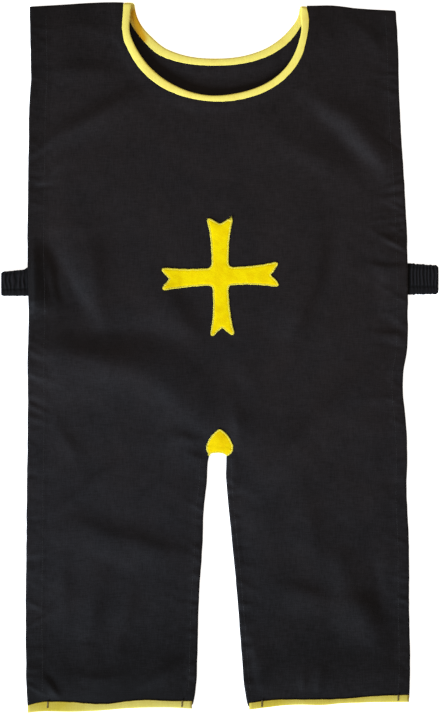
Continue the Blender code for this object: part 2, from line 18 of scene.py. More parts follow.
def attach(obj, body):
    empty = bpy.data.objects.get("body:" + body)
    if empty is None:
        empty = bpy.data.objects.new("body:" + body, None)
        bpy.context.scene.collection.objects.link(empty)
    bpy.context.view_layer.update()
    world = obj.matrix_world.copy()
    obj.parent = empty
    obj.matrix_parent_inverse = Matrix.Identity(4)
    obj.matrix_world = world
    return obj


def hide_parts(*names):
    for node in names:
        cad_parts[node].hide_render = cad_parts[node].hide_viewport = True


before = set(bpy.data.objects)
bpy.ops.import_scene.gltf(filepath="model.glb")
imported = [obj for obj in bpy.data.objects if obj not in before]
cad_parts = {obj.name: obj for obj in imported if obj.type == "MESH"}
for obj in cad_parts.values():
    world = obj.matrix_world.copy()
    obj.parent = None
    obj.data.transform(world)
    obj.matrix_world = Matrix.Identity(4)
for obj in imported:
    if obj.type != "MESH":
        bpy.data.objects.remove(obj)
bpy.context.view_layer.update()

MM = 0.001
FAR = 900.0             # farther than anything on the part
SAME_PLACE = 0.001      # points this near each other count as one

# The cloth and its layers, as in the part's source
WALL = 1.0
SEAM_GAP = 0.3
LAYER_GAP = 0.6
SEAM_STEP = WALL + SEAM_GAP
FLOOR_MIDDLE = WALL / 2
BINDING_WIDTH = 8.0
BINDING_REACH = 8.6
NECK_REACH = BINDING_REACH + 1.5
RAMP = 16.0
SHOULDER_EASE = 20.0

# How the front comes down from what it lies on
NECK_RAMP = 44.0
HEM_RAMP = 84.0
HEM_LAYERS = 3          # of tape under it: both of the back's and the lower one of its own
NECK_LAYERS = 2         # of the back's tape
AIR = 1.7               # between the panels, away from their edges
AIR_REACH = 46.0
LEAST_GAP = 0.12
SOFT_STOP = 0.35

# Real thicknesses, which the solids make up to a wall that prints
CLOTH = 0.56
APPLIQUE = 0.9
HEM_RAISE = 0.4         # of the turned hem over the single cloth
HEM_STEP_RAMP = 1.6
STITCH_DIP = 0.5        # as a share of that raise
STITCH_DIP_WIDTH = 1.1
STITCH_INSET = 2.6      # of the stitching from the turned hem's inner edge
SEAM_PINCH = 0.36       # of each panel towards the other, at the shoulder seam
SEAM_PINCH_WIDTH = 3.0
SEAM_CALM = 0.25        # share of the front's creases that is left at the shoulder seam
SEAM_CALM_REACH = 16.0
CLOTH_EDGE = 0.26       # how far the cloth's edge bulges
APPLIQUE_EDGE = 0.12

# Soft unevenness: how high, in lumps of which size, from which seed
Lumps = namedtuple("Lumps", "rise size seed")
FRONT_LUMPS = [Lumps(0.9, 62.0, 3.0), Lumps(0.42, 23.0, 7.0), Lumps(0.13, 9.0, 12.0)]
HEM_RAMP_LUMPS = Lumps(0.4, 70.0, 9.0)
SIDE_LUMPS = [Lumps(0.35, 11.0, 2.0), Lumps(0.3, 34.0, 4.0)]
SLIT_LUMPS = Lumps(0.3, 12.0, 2.0)
BACK_LUMPS = Lumps(0.12, 48.0, 21.0)
BACK_GATHER_LUMPS = Lumps(2.0, 40.0, 5.0)
STITCH_LUMPS = Lumps(0.35, 24.0, 6.0)
APPLIQUE_LUMPS = 5.0    # size of those along an applique's edge

# The gathers under the back's neck
BACK_GATHER_RISE = 0.18
BACK_GATHER_PACE = 3.1
BACK_GATHER_DEEP = 16.0
BACK_GATHER_REACH = 14.0

Neck = namedtuple("Neck", "x y half_width depth power swell")
FRONT_NECK = Neck(x=-5.0, y=404.0, half_width=103.8, depth=90.0, power=2.0, swell=3.0)
BACK_NECK = Neck(x=-4.2, y=426.0, half_width=100.8, depth=68.4, power=2.2, swell=0.0)
SWELL_TURN = 5.5        # where the front's neck is fuller, at its lower right
SWELL_REACH = 0.45
LEFT_ROLL_Y = 421.0
RIGHT_ROLL_Y = 416.6
LEFT_CORNER_X = -115.4  # where each shoulder ends beside the neck's tape
RIGHT_CORNER_X = 104.4
NECK_STEPS = 190
NECK_STRAIGHT = 5
ROLL_STEPS = 10

Side = namedtuple("Side", "y left right")
SIDES = [
    Side(-424.5, -228.6, 225.4),
    Side(-408.0, -230.4, 226.6),
    Side(-364.0, -231.9, 227.8),
    Side(-292.0, -232.4, 226.8),
    Side(-220.0, -231.5, 226.4),
    Side(-166.0, -231.2, 224.0),
    Side(-112.0, -230.3, 224.5),
    Side(-76.0, -229.9, 222.7),
    Side(-28.0, -229.9, 219.4),
    Side(8.0, -229.9, 224.1),
    Side(56.0, -228.7, 225.1),
    Side(122.0, -230.2, 224.6),
    Side(176.0, -230.1, 222.8),
    Side(248.0, -228.9, 218.4),
    Side(302.0, -228.1, 215.5),
    Side(338.0, -226.1, 214.2),
    Side(374.0, -226.9, 213.3),
    Side(424.0, -227.7, 210.3),
]

Slit = namedtuple("Slit", "y left right")
SLIT = [
    Slit(-424.5, -34.9, 36.4),
    Slit(-402.0, -29.7, 30.7),
    Slit(-364.0, -27.2, 27.1),
    Slit(-292.0, -25.2, 21.5),
    Slit(-220.0, -20.6, 14.7),
    Slit(-184.0, -19.5, 11.2),
    Slit(-150.0, -15.6, 8.1),
    Slit(-130.0, -14.9, 7.8),
    Slit(-118.5, -12.9, 8.2),
]
SLIT_HEAD_Y = -118.5
SLIT_MIDDLE_X = -2.0
SLIT_HEAD = [
    (-12.6, -116.6),
    (-9.6, -115.4),
    (-5.0, -114.8),
    (0.0, -114.8),
    (4.4, -115.6),
    (7.2, -117.0),
]

# The upright edges: which way the cloth lies from each, and how wide its turned hem is
Upright = namedtuple("Upright", "rows column facing hem")
UPRIGHTS = {
    "left": Upright(SIDES, "left", 1, 22.0),
    "right": Upright(SIDES, "right", -1, 15.5),
    "slit left": Upright(SLIT, "left", -1, 11.5),
    "slit right": Upright(SLIT, "right", 1, 9.0),
}

Edge = namedtuple("Edge", "x y")
LEFT_HEM = [
    Edge(-228.6, -424.3),
    Edge(-166.5, -423.5),
    Edge(-137.7, -422.3),
    Edge(-108.9, -419.6),
    Edge(-70.5, -418.7),
    Edge(-34.4, -419.4),
]
RIGHT_HEM = [
    Edge(36.4, -421.3),
    Edge(57.9, -418.9),
    Edge(86.7, -416.8),
    Edge(134.7, -416.0),
    Edge(182.7, -413.6),
    Edge(225.3, -412.2),
]
SHOULDERS = [
    Edge(-227.7, 419.9),
    Edge(-186.9, 422.3),
    Edge(-143.7, 424.7),
    Edge(-117.0, 424.2),
    Edge(107.5, 420.2),
    Edge(134.7, 421.1),
    Edge(163.5, 417.9),
    Edge(210.3, 415.1),
]

# Spacing of the points along the edges
HEM_STEP = 3.0
UPRIGHT_STEP = 2.6
SHOULDER_STEP = 4.0
OUTLINE_STEP = 0.9      # round the cross and the patch

# The main folds, as in the part's source
FOLD_ENDS = 0.12
FOLD_TAPER = 1.5
FOLD_SHARPNESS = 1.8
CREASE_SHARPNESS = 1.7
Fold = namedtuple("Fold", "name line rise left right")
FOLDS = [
    Fold("from the neck to the left side", [(-92, 324), (-142, 291), (-216, 254)], 5.8, 18, 11),
    Fold("from the neck to the right side", [(100, 320), (156, 284), (196, 234), (214, 196)], 4.6, 20, 14),
    Fold("beside the left strap", [(-160, 146), (-151, 112), (-150, 72), (-136, 26)], 4.0, 15, 28),
    Fold("left of the cross", [(-73, 92), (-51, 53), (-24, 19)], 3.0, 14, 24),
    Fold("from the left side", [(-232, 10), (-180, 0), (-126, -8), (-76, -16)], 6.6, 24, 38),
    Fold("to the slit head",
         [(-122, -8), (-84, -20), (-57, -38), (-30, -62), (-8, -84), (10, -102)], 5.2, 46, 27),
    Fold("across the left leg", [(-190, -196), (-126, -217), (-84, -229), (-30, -239)], 3.8, 14, 26),
    Fold("right of the cross", [(124, 150), (114, 92), (92, 46), (80, 16)], 4.6, 12, 24),
    Fold("from the right side to the slit", [(186, -8), (94, -102), (34, -172)], 5.5, 22, 16),
    Fold("down the right leg", [(146, -280), (172, -304), (190, -342)], 4.4, 16, 26),
    Fold("across the right leg", [(66, -274), (104, -284), (136, -290)], 2.4, 11, 20),
]

# Lesser creases of the front, placed one by one: ridges, and troughs where the rise is below nothing
CREASES = [
    Fold("under the left shoulder", [(-208, 343), (-168, 345), (-120, 342)], 2.2, 9, 16),
    Fold("beside the neck, left", [(-190, 398), (-152, 394), (-122, 384)], 0.9, 10, 8),
    Fold("below the left neck fold", [(-165, 253), (-184, 238), (-206, 220)], 1.3, 10, 6),
    Fold("pinch on the left side", [(-229, 205), (-214, 204), (-196, 206)], -1.4, 3, 3),
    Fold("above the left strap", [(-206, 156), (-176, 152), (-142, 164)], 0.7, 12, 8),
    Fold("strap hollow", [(-206, 134), (-189, 101), (-184, 85), (-168, 62), (-152, 38)], -5.0, 14, 24),
    Fold("strap ridge, outer", [(-223, 142), (-222, 110), (-222, 78), (-223, 52)], 4.4, 11, 4),
    Fold("strap ridge, inner", [(-211, 128), (-203, 104), (-199, 82), (-193, 60)], 2.0, 7, 5),
    Fold("under the left strap", [(-226, 52), (-200, 46), (-176, 50)], -0.5, 7, 8),
    Fold("hollow above the long fold", [(-219, 34), (-144, 30), (-84, 30), (-30, 12)], -1.8, 13, 15),
    Fold("by the slit head, upper", [(-62, -94), (-42, -97), (-18, -102)], 2.2, 6, 20),
    Fold("by the slit head, lower", [(-42, -116), (-30, -119), (-16, -124)], 1.6, 5, 14),
    Fold("left leg, upper left", [(-198, -80), (-182, -102), (-172, -122)], 1.8, 8, 11),
    Fold("left leg, slanting up", [(-200, -188), (-158, -156), (-124, -126)], 1.6, 6, 8),
    Fold("left leg, middle", [(-134, -246), (-150, -292), (-158, -342)], 3.4, 12, 18),
    Fold("left leg, inner", [(-96, -262), (-112, -306), (-128, -356)], 2.2, 9, 12),
    Fold("left leg, outer", [(-188, -246), (-184, -282), (-190, -322)], 1.4, 9, 9),
    Fold("left leg, corner", [(-212, -380), (-201, -394), (-190, -410)], 2.0, 3, 14),
    Fold("left leg, low slant", [(-100, -398), (-68, -380), (-40, -360)], 1.6, 8, 9),
    Fold("left leg, low", [(-176, -380), (-146, -386), (-112, -380)], 1.2, 6, 9),
    Fold("right shoulder, outer", [(150, 408), (178, 386), (204, 352)], 1.4, 10, 10),
    Fold("hollow under the right neck fold", [(104, 300), (141, 263), (186, 219)], -1.8, 10, 13),
    Fold("right chest", [(60, 272), (108, 242), (156, 212)], 2.0, 15, 20),
    Fold("valley right of the cross", [(143, 150), (134, 104), (116, 60), (98, 20)], -2.5, 11, 13),
    Fold("right of the cross, lowest", [(112, -2), (140, 30), (178, 66)], 1.2, 12, 10),
    Fold("right pinch, highest", [(184, 190), (204, 192), (224, 193)], 1.0, 3, 9),
    Fold("right pinch, high", [(188, 174), (206, 173), (224, 173)], 0.6, 3, 8),
    Fold("right pinch at the armhole", [(188, 146), (206, 141), (224, 140)], 1.4, 4, 10),
    Fold("right pinch over the strap", [(174, 112), (198, 107), (226, 108)], 2.4, 4, 17),
    Fold("right pinch under the strap", [(188, 52), (208, 52), (224, 54)], 0.7, 3, 7),
    Fold("right side at the waist", [(180, 28), (200, 27), (224, 27)], 1.5, 3.5, 8),
    Fold("right side below the waist", [(224, -40), (196, -52), (168, -50)], 1.0, 8, 7),
    Fold("middle, under the cross", [(14, 6), (38, -24), (44, -58)], 1.0, 13, 16),
    Fold("right of the slit head", [(17, -56), (22, -84), (20, -114)], 2.2, 15, 8),
    Fold("right of the slit, high", [(14, -112), (18, -136), (16, -164)], 1.4, 7, 5),
    Fold("right leg, upper", [(96, -152), (110, -206), (120, -258)], 2.4, 15, 20),
    Fold("right leg, dark hollow", [(150, -224), (146, -252), (150, -284)], 3.0, 20, 14),
    Fold("right leg, outer hollow", [(184, -232), (190, -280), (198, -318)], -2.2, 13, 12),
    Fold("right leg, low ridges", [(124, -366), (119, -388), (114, -408)], 1.3, 5, 5),
    Fold("right leg, low ridge beside", [(102, -372), (100, -390), (98, -408)], 0.9, 4, 5),
    Fold("right leg by the slit", [(34, -318), (44, -360), (52, -402)], 2.0, 15, 8),
]

# Where the sewn hems pull the cloth into short puckers: which edge, between which heights
Pucker = namedtuple("Pucker", "edge low high step rise reach")
PUCKERS = [
    Pucker("left", 330, 400, 8, 0.45, 22),
    Pucker("left", 240, 330, 13, 0.3, 20),
    Pucker("left", 165, 235, 8, 0.65, 24),
    Pucker("left", 30, 62, 7, 0.35, 26),
    Pucker("left", -80, 20, 10, 0.5, 24),
    Pucker("left", -250, -90, 10, 0.42, 20),
    Pucker("left", -405, -260, 9, 0.5, 22),
    Pucker("right", 290, 372, 8, 0.5, 24),
    Pucker("right", 120, 245, 8, 0.65, 34),
    Pucker("right", -70, 60, 11, 0.5, 28),
    Pucker("right", -240, -80, 13, 0.4, 22),
    Pucker("right", -400, -250, 9, 0.55, 22),
    Pucker("slit left", -405, -160, 9, 0.5, 16),
    Pucker("slit right", -405, -150, 9, 0.5, 15),
]


# How far each pucker strays from its row's own figures
PUCKER_SPACING = (0.35, 1.65)
PUCKER_RISE = (0.3, 1.9)
PUCKER_SIGNS = (1.0, 1.0, -0.8)
PUCKER_WIDTH = (0.18, 0.36)
PUCKER_REACH = (0.5, 1.35)
PUCKER_LEAN = (-0.8, 0.8)
PUCKER_SPREAD = 0.5     # of its width, over its reach
PUCKER_AT_EDGE = 0.55   # of its rise, at the very edge
PUCKER_EDGE = 5.0

Strap = namedtuple("Strap", "side tip top_at_body top_at_tip bottom_at_body bottom_at_tip pitch flare frill")
STRAPS = {
    "left": Strap(-1, -262.4, 105.2, 102.0, 73.0, 73.0, 5.4, 2.6, 0.5),
    "right": Strap(1, 262.4, 112.4, 109.4, 74.6, 75.4, 4.0, 0.0, 1.0),
}
STRAP_WALL = 1.2
STRAP_SEWN = 12.0       # how far it reaches in between the panels
STRAP_CLEAR = 4.0
STRAP_LIFT = 3.0
STRAP_RAMP = 26.0
STRAP_COLUMNS = 26
HALF_CASING = 0.42
GATHER_ROOM = 0.45
GATHER_RISE = 0.44
GATHER_EVENNESS = 0.65
GATHER_VARIETY = 0.8
GATHER_LEAN = 3.0
GATHER_DRIFT = 3.4
GATHER_BLUNTNESS = 0.8
DROP_TO_FLOOR = 7.0
LOWER_OUTSIDE = STRAP_WALL / 2 + GATHER_ROOM + 0.1
TIP_REACH = 4.0         # over which the strap's end narrows
TIP_NARROWING = 3.2
TIP_STEPS = 8
STRAP_STEP = 0.45
SEWN_DEPTH = 0.12       # of the gathers where the strap is sewn in, as a share
TIP_DEPTH = 0.4
FLARE_REACH = 6.0
EDGE_ROUNDING = 0.3
GROOVE_DEPTH = 0.34
# Painted light and shade on the casing: a set tone for its inner wall, darker in its header grooves, and
# darker where it comes out from between the panels
INNER_CREST = 0.3
GROOVE_DARK = 0.8
JOINT_DARK = 0.7        # of the casing where it comes out from between the panels
JOINT_WIDTH = 2.6

# Bands: where their middle is, how wide and how strong. A strap's are shares of its width.
Band = namedtuple("Band", "at width strength")
GROOVES = [Band(0.27, 0.035, 1.0), Band(0.9, 0.03, 0.7)]
CALM = Band(0.1, 0.16, 0.85)

Arm = namedtuple("Arm", "turn length root tip notch")
ARMS = [
    Arm(2.0, 69.7, 10.3, 14.6, 9.4),
    Arm(90.4, 69.5, 9.7, 15.2, 7.2),
    Arm(182.8, 69.7, 9.9, 13.4, 9.2),
    Arm(272.1, 70.8, 8.9, 14.1, 10.0),
]
CROSS_X = 0.6
CROSS_Y = 96.5
ARM_FLARE = 2.4
ARM_POINTS = 12
CROSS_CORNER = 5.0
TIP_CORNER = 2.4
CORNER_MIDDLE = 0.3

Drop = namedtuple("Drop", "down half_width")
PATCH = [
    Drop(2.4, 4.0),
    Drop(7.0, 8.8),
    Drop(13.0, 12.9),
    Drop(20.0, 15.8),
    Drop(26.0, 15.4),
    Drop(30.2, 12.4),
]
PATCH_X = 0.0
PATCH_TOP = -86.4


# Plain sums on arrays of places

def ease(t):
    """Zero to one, level at both ends."""
    t = np.clip(t, 0.0, 1.0)
    return t * t * (3.0 - 2.0 * t)


def near(distance, reach, ramp):
    """One up to the reach, easing to nothing over the ramp."""
    return 1.0 - ease((distance - reach) / ramp)


def way(value, span):
    """A smooth share of the way from a span's start to its end."""
    start, end = span
    return ease((value - start) / (end - start))


def bell(distance, width):
    return np.exp(-((distance / width) ** 2))


def read(rows, key, column, at):
    """A column's values at places in another column, on a smooth line through the rows."""
    places = np.array([getattr(row, key) for row in rows])
    values = np.array([getattr(row, column) for row in rows])
    rank = np.arange(len(rows))
    before = np.maximum(rank - 1, 0)
    after = np.minimum(rank + 1, len(rows) - 1)
    slopes = (values[after] - values[before]) / (places[after] - places[before])
    at = np.clip(at, places[0], places[-1])
    i = np.clip(np.searchsorted(places, at, side="right") - 1, 0, len(rows) - 2)
    span = places[i + 1] - places[i]
    t = (at - places[i]) / span
    start = values[i] + slopes[i] * span * t
    end = values[i + 1] - slopes[i + 1] * span * (1.0 - t)
    return start + (end - start) * ease(t)


def uneven(x, y, *rows):
    """Soft noise, the sum of these rows of lumps."""
    x, y = np.broadcast_arrays(np.asarray(x, float), np.asarray(y, float))
    places = list(zip(x.ravel(), y.ravel()))
    total = np.zeros(x.shape)
    for row in rows:
        flat = [noise.noise((a / row.size, b / row.size, row.seed)) for a, b in places]
        total += row.rise * np.array(flat).reshape(x.shape)
    return total


def to_segment(a, b, x, y):
    """How far along a segment its nearest point is, as a share, and how far off."""
    (ax, ay), (bx, by) = a, b
    dx = bx - ax
    dy = by - ay
    share = np.clip(((x - ax) * dx + (y - ay) * dy) / max(dx * dx + dy * dy, 1e-9), 0.0, 1.0)
    return share, np.hypot(x - ax - dx * share, y - ay - dy * share)


def around(loop):
    """The sides of a closed line."""
    return zip(loop, loop[1:] + loop[:1])


def edge_x(edge, y):
    upright = UPRIGHTS[edge]
    return read(upright.rows, "y", upright.column, y)


def side_name(side):
    return "left" if side < 0 else "right"


def hem_y(x):
    x = np.asarray(x, float)
    return np.where(x < 0.0, read(LEFT_HEM, "x", "y", x), read(RIGHT_HEM, "x", "y", x))


def from_shoulder(x, y):
    return read(SHOULDERS, "x", "y", x) - y


def inward(edge, x, y):
    """How far a place lies inside one of the upright edges."""
    facing = UPRIGHTS[edge].facing
    distance = facing * (x - edge_x(edge, y))
    if edge in ("left", "right"):
        return distance
    distance = np.where(facing * (x - SLIT_MIDDLE_X) > 0.0, distance, FAR)
    return np.hypot(np.maximum(distance, 0.0), np.maximum(y - SLIT_HEAD_Y, 0.0))


def edge_distance(x, y):
    """How far a place lies from the nearest edge that is sewn or bound."""
    distances = [inward(edge, x, y) for edge in UPRIGHTS]
    return np.minimum.reduce(distances + [y - hem_y(x), from_shoulder(x, y)])


def from_edges(x, y, reach):
    """One in the middle of a panel, and nothing at its edges, with no kink between them."""
    share = ease((y - hem_y(x)) / reach) * ease(from_shoulder(x, y) / reach)
    for edge in UPRIGHTS:
        share = share * ease(inward(edge, x, y) / reach)
    return share


# The neck

def neck_place(neck, turn, out):
    """A point at an angle round the neck, moved out from the fold line into the cloth."""
    across = math.cos(turn)
    down = -math.sin(turn)
    x = neck.half_width * math.copysign(abs(across) ** (2.0 / neck.power), across)
    y = -neck.depth * max(down, 0.0) ** (2.0 / neck.power)
    normal = Vector((
        math.copysign(abs(x / neck.half_width) ** (neck.power - 1.0), x) / neck.half_width,
        -abs(y / neck.depth) ** (neck.power - 1.0) / neck.depth,
    )).normalized()
    fuller = neck.swell * float(bell(turn - SWELL_TURN, SWELL_REACH))
    return Vector((neck.x + x, neck.y + y)) + normal * (out + fuller)


def roll_turn(neck, roll_y):
    below = max(0.0, (neck.y - roll_y) / neck.depth)
    return math.asin(below ** (neck.power / 2.0))


def straight(x, start_y, end_y):
    """Points up or down a short straight."""
    return [Vector((x, start_y + (end_y - start_y) * i / NECK_STRAIGHT)) for i in range(NECK_STRAIGHT + 1)]


def neck_line(neck, out):
    """The neck's line from its left shoulder to its right one."""
    line = []
    left_turn = math.pi + roll_turn(neck, LEFT_ROLL_Y)
    right_turn = math.tau - roll_turn(neck, RIGHT_ROLL_Y)
    if LEFT_ROLL_Y > neck.y:
        line += straight(neck.x - neck.half_width - out, LEFT_ROLL_Y, neck.y)[:-1]
    for i in range(NECK_STEPS + 1):
        turn = left_turn + (right_turn - left_turn) * i / NECK_STEPS
        line.append(neck_place(neck, min(max(turn, math.pi), math.tau), out))
    if RIGHT_ROLL_Y > neck.y:
        line += straight(neck.x + neck.half_width + out, neck.y, RIGHT_ROLL_Y)[1:]
    line[0].y = LEFT_ROLL_Y
    line[-1].y = RIGHT_ROLL_Y
    return line


def neck_distance(neck, x, y):
    """About how far a place lies outside the neck's fold line."""
    across = np.abs(x - neck.x)
    down = neck.y - y
    below = np.maximum(down, 1e-6)
    share = (across / neck.half_width) ** neck.power + (below / neck.depth) ** neck.power
    share = np.maximum(share ** (1.0 / neck.power), 0.01)
    under = np.hypot(across, below) * (1.0 - 1.0 / share)
    return np.where(down <= 0.0, across - neck.half_width, under)


# How high each panel lies: the middle of its wall

def by_hem(x, y, ramp=RAMP):
    return near(y - hem_y(x), BINDING_REACH, ramp)


def by_neck(neck, x, y, ramp=RAMP):
    return near(neck_distance(neck, x, y), NECK_REACH, ramp)


def back_middle(x, y):
    return FLOOR_MIDDLE + SEAM_STEP * np.maximum(by_hem(x, y), by_neck(BACK_NECK, x, y))


def fold_rise(fold, x, y, sharpness):
    """How far one fold lifts the front at these places."""
    parts = len(fold.line) - 1
    best = np.full(np.shape(x), np.inf)
    along = np.zeros(np.shape(x))
    side = np.zeros(np.shape(x))
    for part in range(parts):
        (ax, ay), (bx, by) = fold.line[part:part + 2]
        share, distance = to_segment((ax, ay), (bx, by), x, y)
        closer = distance < best
        best = np.where(closer, distance, best)
        along = np.where(closer, (part + share) / parts, along)
        off = ((bx - ax) * (y - ay) - (by - ay) * (x - ax)) / math.hypot(bx - ax, by - ay)
        side = np.where(closer, np.clip(off / np.maximum(distance, 0.01), -1.0, 1.0), side)
    width = fold.right + (fold.left - fold.right) * (0.5 + 0.5 * side)
    taper = np.sin(np.pi * (FOLD_ENDS + (1.0 - 2.0 * FOLD_ENDS) * along)) ** FOLD_TAPER
    return fold.rise * taper * np.exp(-((best / width) ** sharpness))


def over_straps(x, y):
    """One over the sewn ends of the straps, easing to nothing around them."""
    most = np.zeros(np.shape(x))
    for strap in STRAPS.values():
        deep = np.abs(x - edge_x(side_name(strap.side), y)) - STRAP_SEWN
        middle = (strap.top_at_body + strap.bottom_at_body) / 2.0
        half = (strap.top_at_body - strap.bottom_at_body) / 2.0
        beside = np.abs(y - middle) - half
        lifted = near(deep, STRAP_CLEAR, STRAP_RAMP) * near(beside, STRAP_CLEAR, STRAP_RAMP)
        most = np.maximum(most, lifted)
    return most


def puckers(x, y):
    """The short pulls along the sewn hems."""
    draw = random.Random(11)
    total = np.zeros(np.shape(x))
    for row in PUCKERS:
        deep = inward(row.edge, x, y)
        place = row.low
        while place < row.high:
            place += row.step * draw.uniform(*PUCKER_SPACING)
            rise = row.rise * draw.uniform(*PUCKER_RISE) * draw.choice(PUCKER_SIGNS)
            width = row.step * draw.uniform(*PUCKER_WIDTH)
            reach = row.reach * draw.uniform(*PUCKER_REACH)
            lean = draw.uniform(*PUCKER_LEAN)
            off = y - place - lean * deep
            fade = bell(deep, reach) * (PUCKER_AT_EDGE + (1.0 - PUCKER_AT_EDGE) * ease(deep / PUCKER_EDGE))
            total += rise * fade * bell(off, width * (1.0 + PUCKER_SPREAD * deep / reach))
    return total


def detail(x, y):
    """What the front's surface has beyond its main folds."""
    fine = sum(fold_rise(crease, x, y, CREASE_SHARPNESS) for crease in CREASES)
    fine += puckers(x, y) + uneven(x, y, *FRONT_LUMPS)
    free = (1.0 - by_hem(x, y)) * (1.0 - by_neck(FRONT_NECK, x, y))
    return fine * free * (SEAM_CALM + (1.0 - SEAM_CALM) * ease(from_shoulder(x, y) / SEAM_CALM_REACH))


def front_middle(x, y):
    """The front lies on the back, its bindings and the straps' ends, and rises in its folds."""
    x, y = np.broadcast_arrays(np.asarray(x, float), np.asarray(y, float))
    by_own_neck = by_neck(FRONT_NECK, x, y)
    eased = ease(from_shoulder(x, y) / SHOULDER_EASE)
    gap = SEAM_GAP + (LAYER_GAP - SEAM_GAP) * np.maximum(eased, by_own_neck)
    hem_ramp = HEM_RAMP * (1.0 + uneven(x, 0.0 * y, HEM_RAMP_LUMPS))
    walls = HEM_LAYERS * by_hem(x, y, hem_ramp)
    walls = walls + NECK_LAYERS * by_neck(BACK_NECK, x, y, NECK_RAMP) + by_own_neck
    folds = sum(fold_rise(fold, x, y, FOLD_SHARPNESS) for fold in FOLDS)
    lift = SEAM_STEP * walls + STRAP_LIFT * over_straps(x, y) + folds
    air = AIR * from_edges(x, y, AIR_REACH)
    lowest = back_middle(x, y) + CLOTH + LEAST_GAP
    above = FLOOR_MIDDLE + WALL + gap + lift + air + detail(x, y) - lowest
    return lowest + (above + np.sqrt(above * above + SOFT_STOP ** 2)) / 2.0


def hem_raise(x, y):
    """The second layer of the turned hems, with the dip of their stitching."""
    most = np.zeros(np.shape(x))
    for edge, upright in UPRIGHTS.items():
        deep = inward(edge, x, y)
        layer = near(deep, upright.hem - 0.6, HEM_STEP_RAMP)
        dip = STITCH_DIP * bell(deep - upright.hem + STITCH_INSET, STITCH_DIP_WIDTH)
        most = np.maximum(most, layer * (1.0 - dip))
    return most * HEM_RAISE


def seam_pinch(x, y):
    """How far the two panels come together at the shoulder seam."""
    return SEAM_PINCH * bell(from_shoulder(x, y), SEAM_PINCH_WIDTH)


def front_top(x, y):
    return front_middle(x, y) - seam_pinch(x, y) + CLOTH / 2 + hem_raise(x, y)


def front_under(x, y):
    return front_middle(x, y) - seam_pinch(x, y) - CLOTH / 2


def back_cloth_middle(x, y):
    """The back's cloth, with the gathers by its neck and its own shallow creases."""
    gathers = BACK_GATHER_RISE * np.sin(x / BACK_GATHER_PACE + uneven(x, y, BACK_GATHER_LUMPS))
    gathers = gathers * bell(neck_distance(BACK_NECK, x, y) - BACK_GATHER_DEEP, BACK_GATHER_REACH)
    creases = uneven(x, y, BACK_LUMPS) * (1.0 - by_hem(x, y))
    return back_middle(x, y) + seam_pinch(x, y) + gathers + creases


def back_top(x, y):
    return back_cloth_middle(x, y) + CLOTH / 2


def back_under(x, y):
    return back_cloth_middle(x, y) - CLOTH / 2


# Outlines

def steps_between(start, end, step):
    count = max(1, math.ceil(abs(end - start) / step))
    return [start + (end - start) * i / count for i in range(count + 1)]


def line_of(xs, ys):
    return [Vector((float(x), float(y))) for x, y in zip(xs, ys)]


def hem_line(rows, inset):
    xs = np.array(steps_between(rows[0].x, rows[-1].x, HEM_STEP))
    return line_of(xs, read(rows, "x", "y", xs) + inset)


def side_line(side, bottom, top):
    ys = np.array(steps_between(bottom, top, UPRIGHT_STEP))
    waver = uneven(ys, side * 30.0, *SIDE_LUMPS)
    return line_of(edge_x(side_name(side), ys) + side * waver, ys)


def slit_line(edge, bottom):
    ys = np.array(steps_between(bottom, SLIT_HEAD_Y, UPRIGHT_STEP))
    waver = uneven(ys, 9.0 if edge == "slit left" else 90.0, SLIT_LUMPS)
    return line_of(edge_x(edge, ys) + waver, ys)


def shoulder_line(start_x, end_x):
    xs = np.array(steps_between(start_x, end_x, SHOULDER_STEP))
    return line_of(xs, read(SHOULDERS, "x", "y", xs))


def panel_outline(neck):
    """The panel's edge, round by way of hem, slit, side, shoulder and neck."""
    left_hem = hem_line(LEFT_HEM, SEAM_STEP)
    right_hem = hem_line(RIGHT_HEM, SEAM_STEP)
    slit_up = slit_line("slit left", left_hem[-1].y)[1:]
    slit_down = slit_line("slit right", right_hem[0].y)[:0:-1]
    head = [Vector(spot) for spot in SLIT_HEAD]
    left_corner = Vector((LEFT_CORNER_X, LEFT_ROLL_Y))
    right_corner = Vector((RIGHT_CORNER_X, RIGHT_ROLL_Y))
    right_side = side_line(1, right_hem[-1].y, SHOULDERS[-1].y)[1:-1]
    left_side = side_line(-1, left_hem[0].y, SHOULDERS[0].y)[-2:0:-1]
    right_shoulder = shoulder_line(SHOULDERS[-1].x, right_corner.x)
    left_shoulder = shoulder_line(left_corner.x, SHOULDERS[0].x)
    outline = left_hem + slit_up + head + slit_down + right_hem + right_side + right_shoulder
    outline += [right_corner] + neck_line(neck, SEAM_STEP)[::-1] + [left_corner]
    return outline + left_shoulder + left_side


def arm_outline(arm, after):
    """One arm of the cross, and the corner between it and the arm after it."""
    half = []
    start = after.root + CROSS_CORNER
    for i in range(ARM_POINTS + 1):
        share = i / ARM_POINTS
        along = start + (arm.length - TIP_CORNER - start) * share
        half.append((along, arm.root + (arm.tip - arm.root) * share ** ARM_FLARE))
    half.append((arm.length, arm.tip - TIP_CORNER / 2.0))
    half.append((arm.length - TIP_CORNER * CORNER_MIDDLE, arm.tip - TIP_CORNER * (2.0 - CORNER_MIDDLE)))
    notch = [(arm.length - arm.notch, 0.0)]
    rounding = CROSS_CORNER * CORNER_MIDDLE
    corner = [(after.root + rounding, arm.root + rounding)]
    points = [(a, -c) for a, c in half] + notch + [(a, c) for a, c in half[::-1]] + corner
    turn = math.radians(arm.turn)
    along = Vector((math.cos(turn), math.sin(turn)))
    across = Vector((-math.sin(turn), math.cos(turn)))
    return [Vector((CROSS_X, CROSS_Y)) + along * a + across * c for a, c in points]


def cross_outline():
    return [point for i, arm in enumerate(ARMS) for point in arm_outline(arm, ARMS[(i + 1) % 4])]


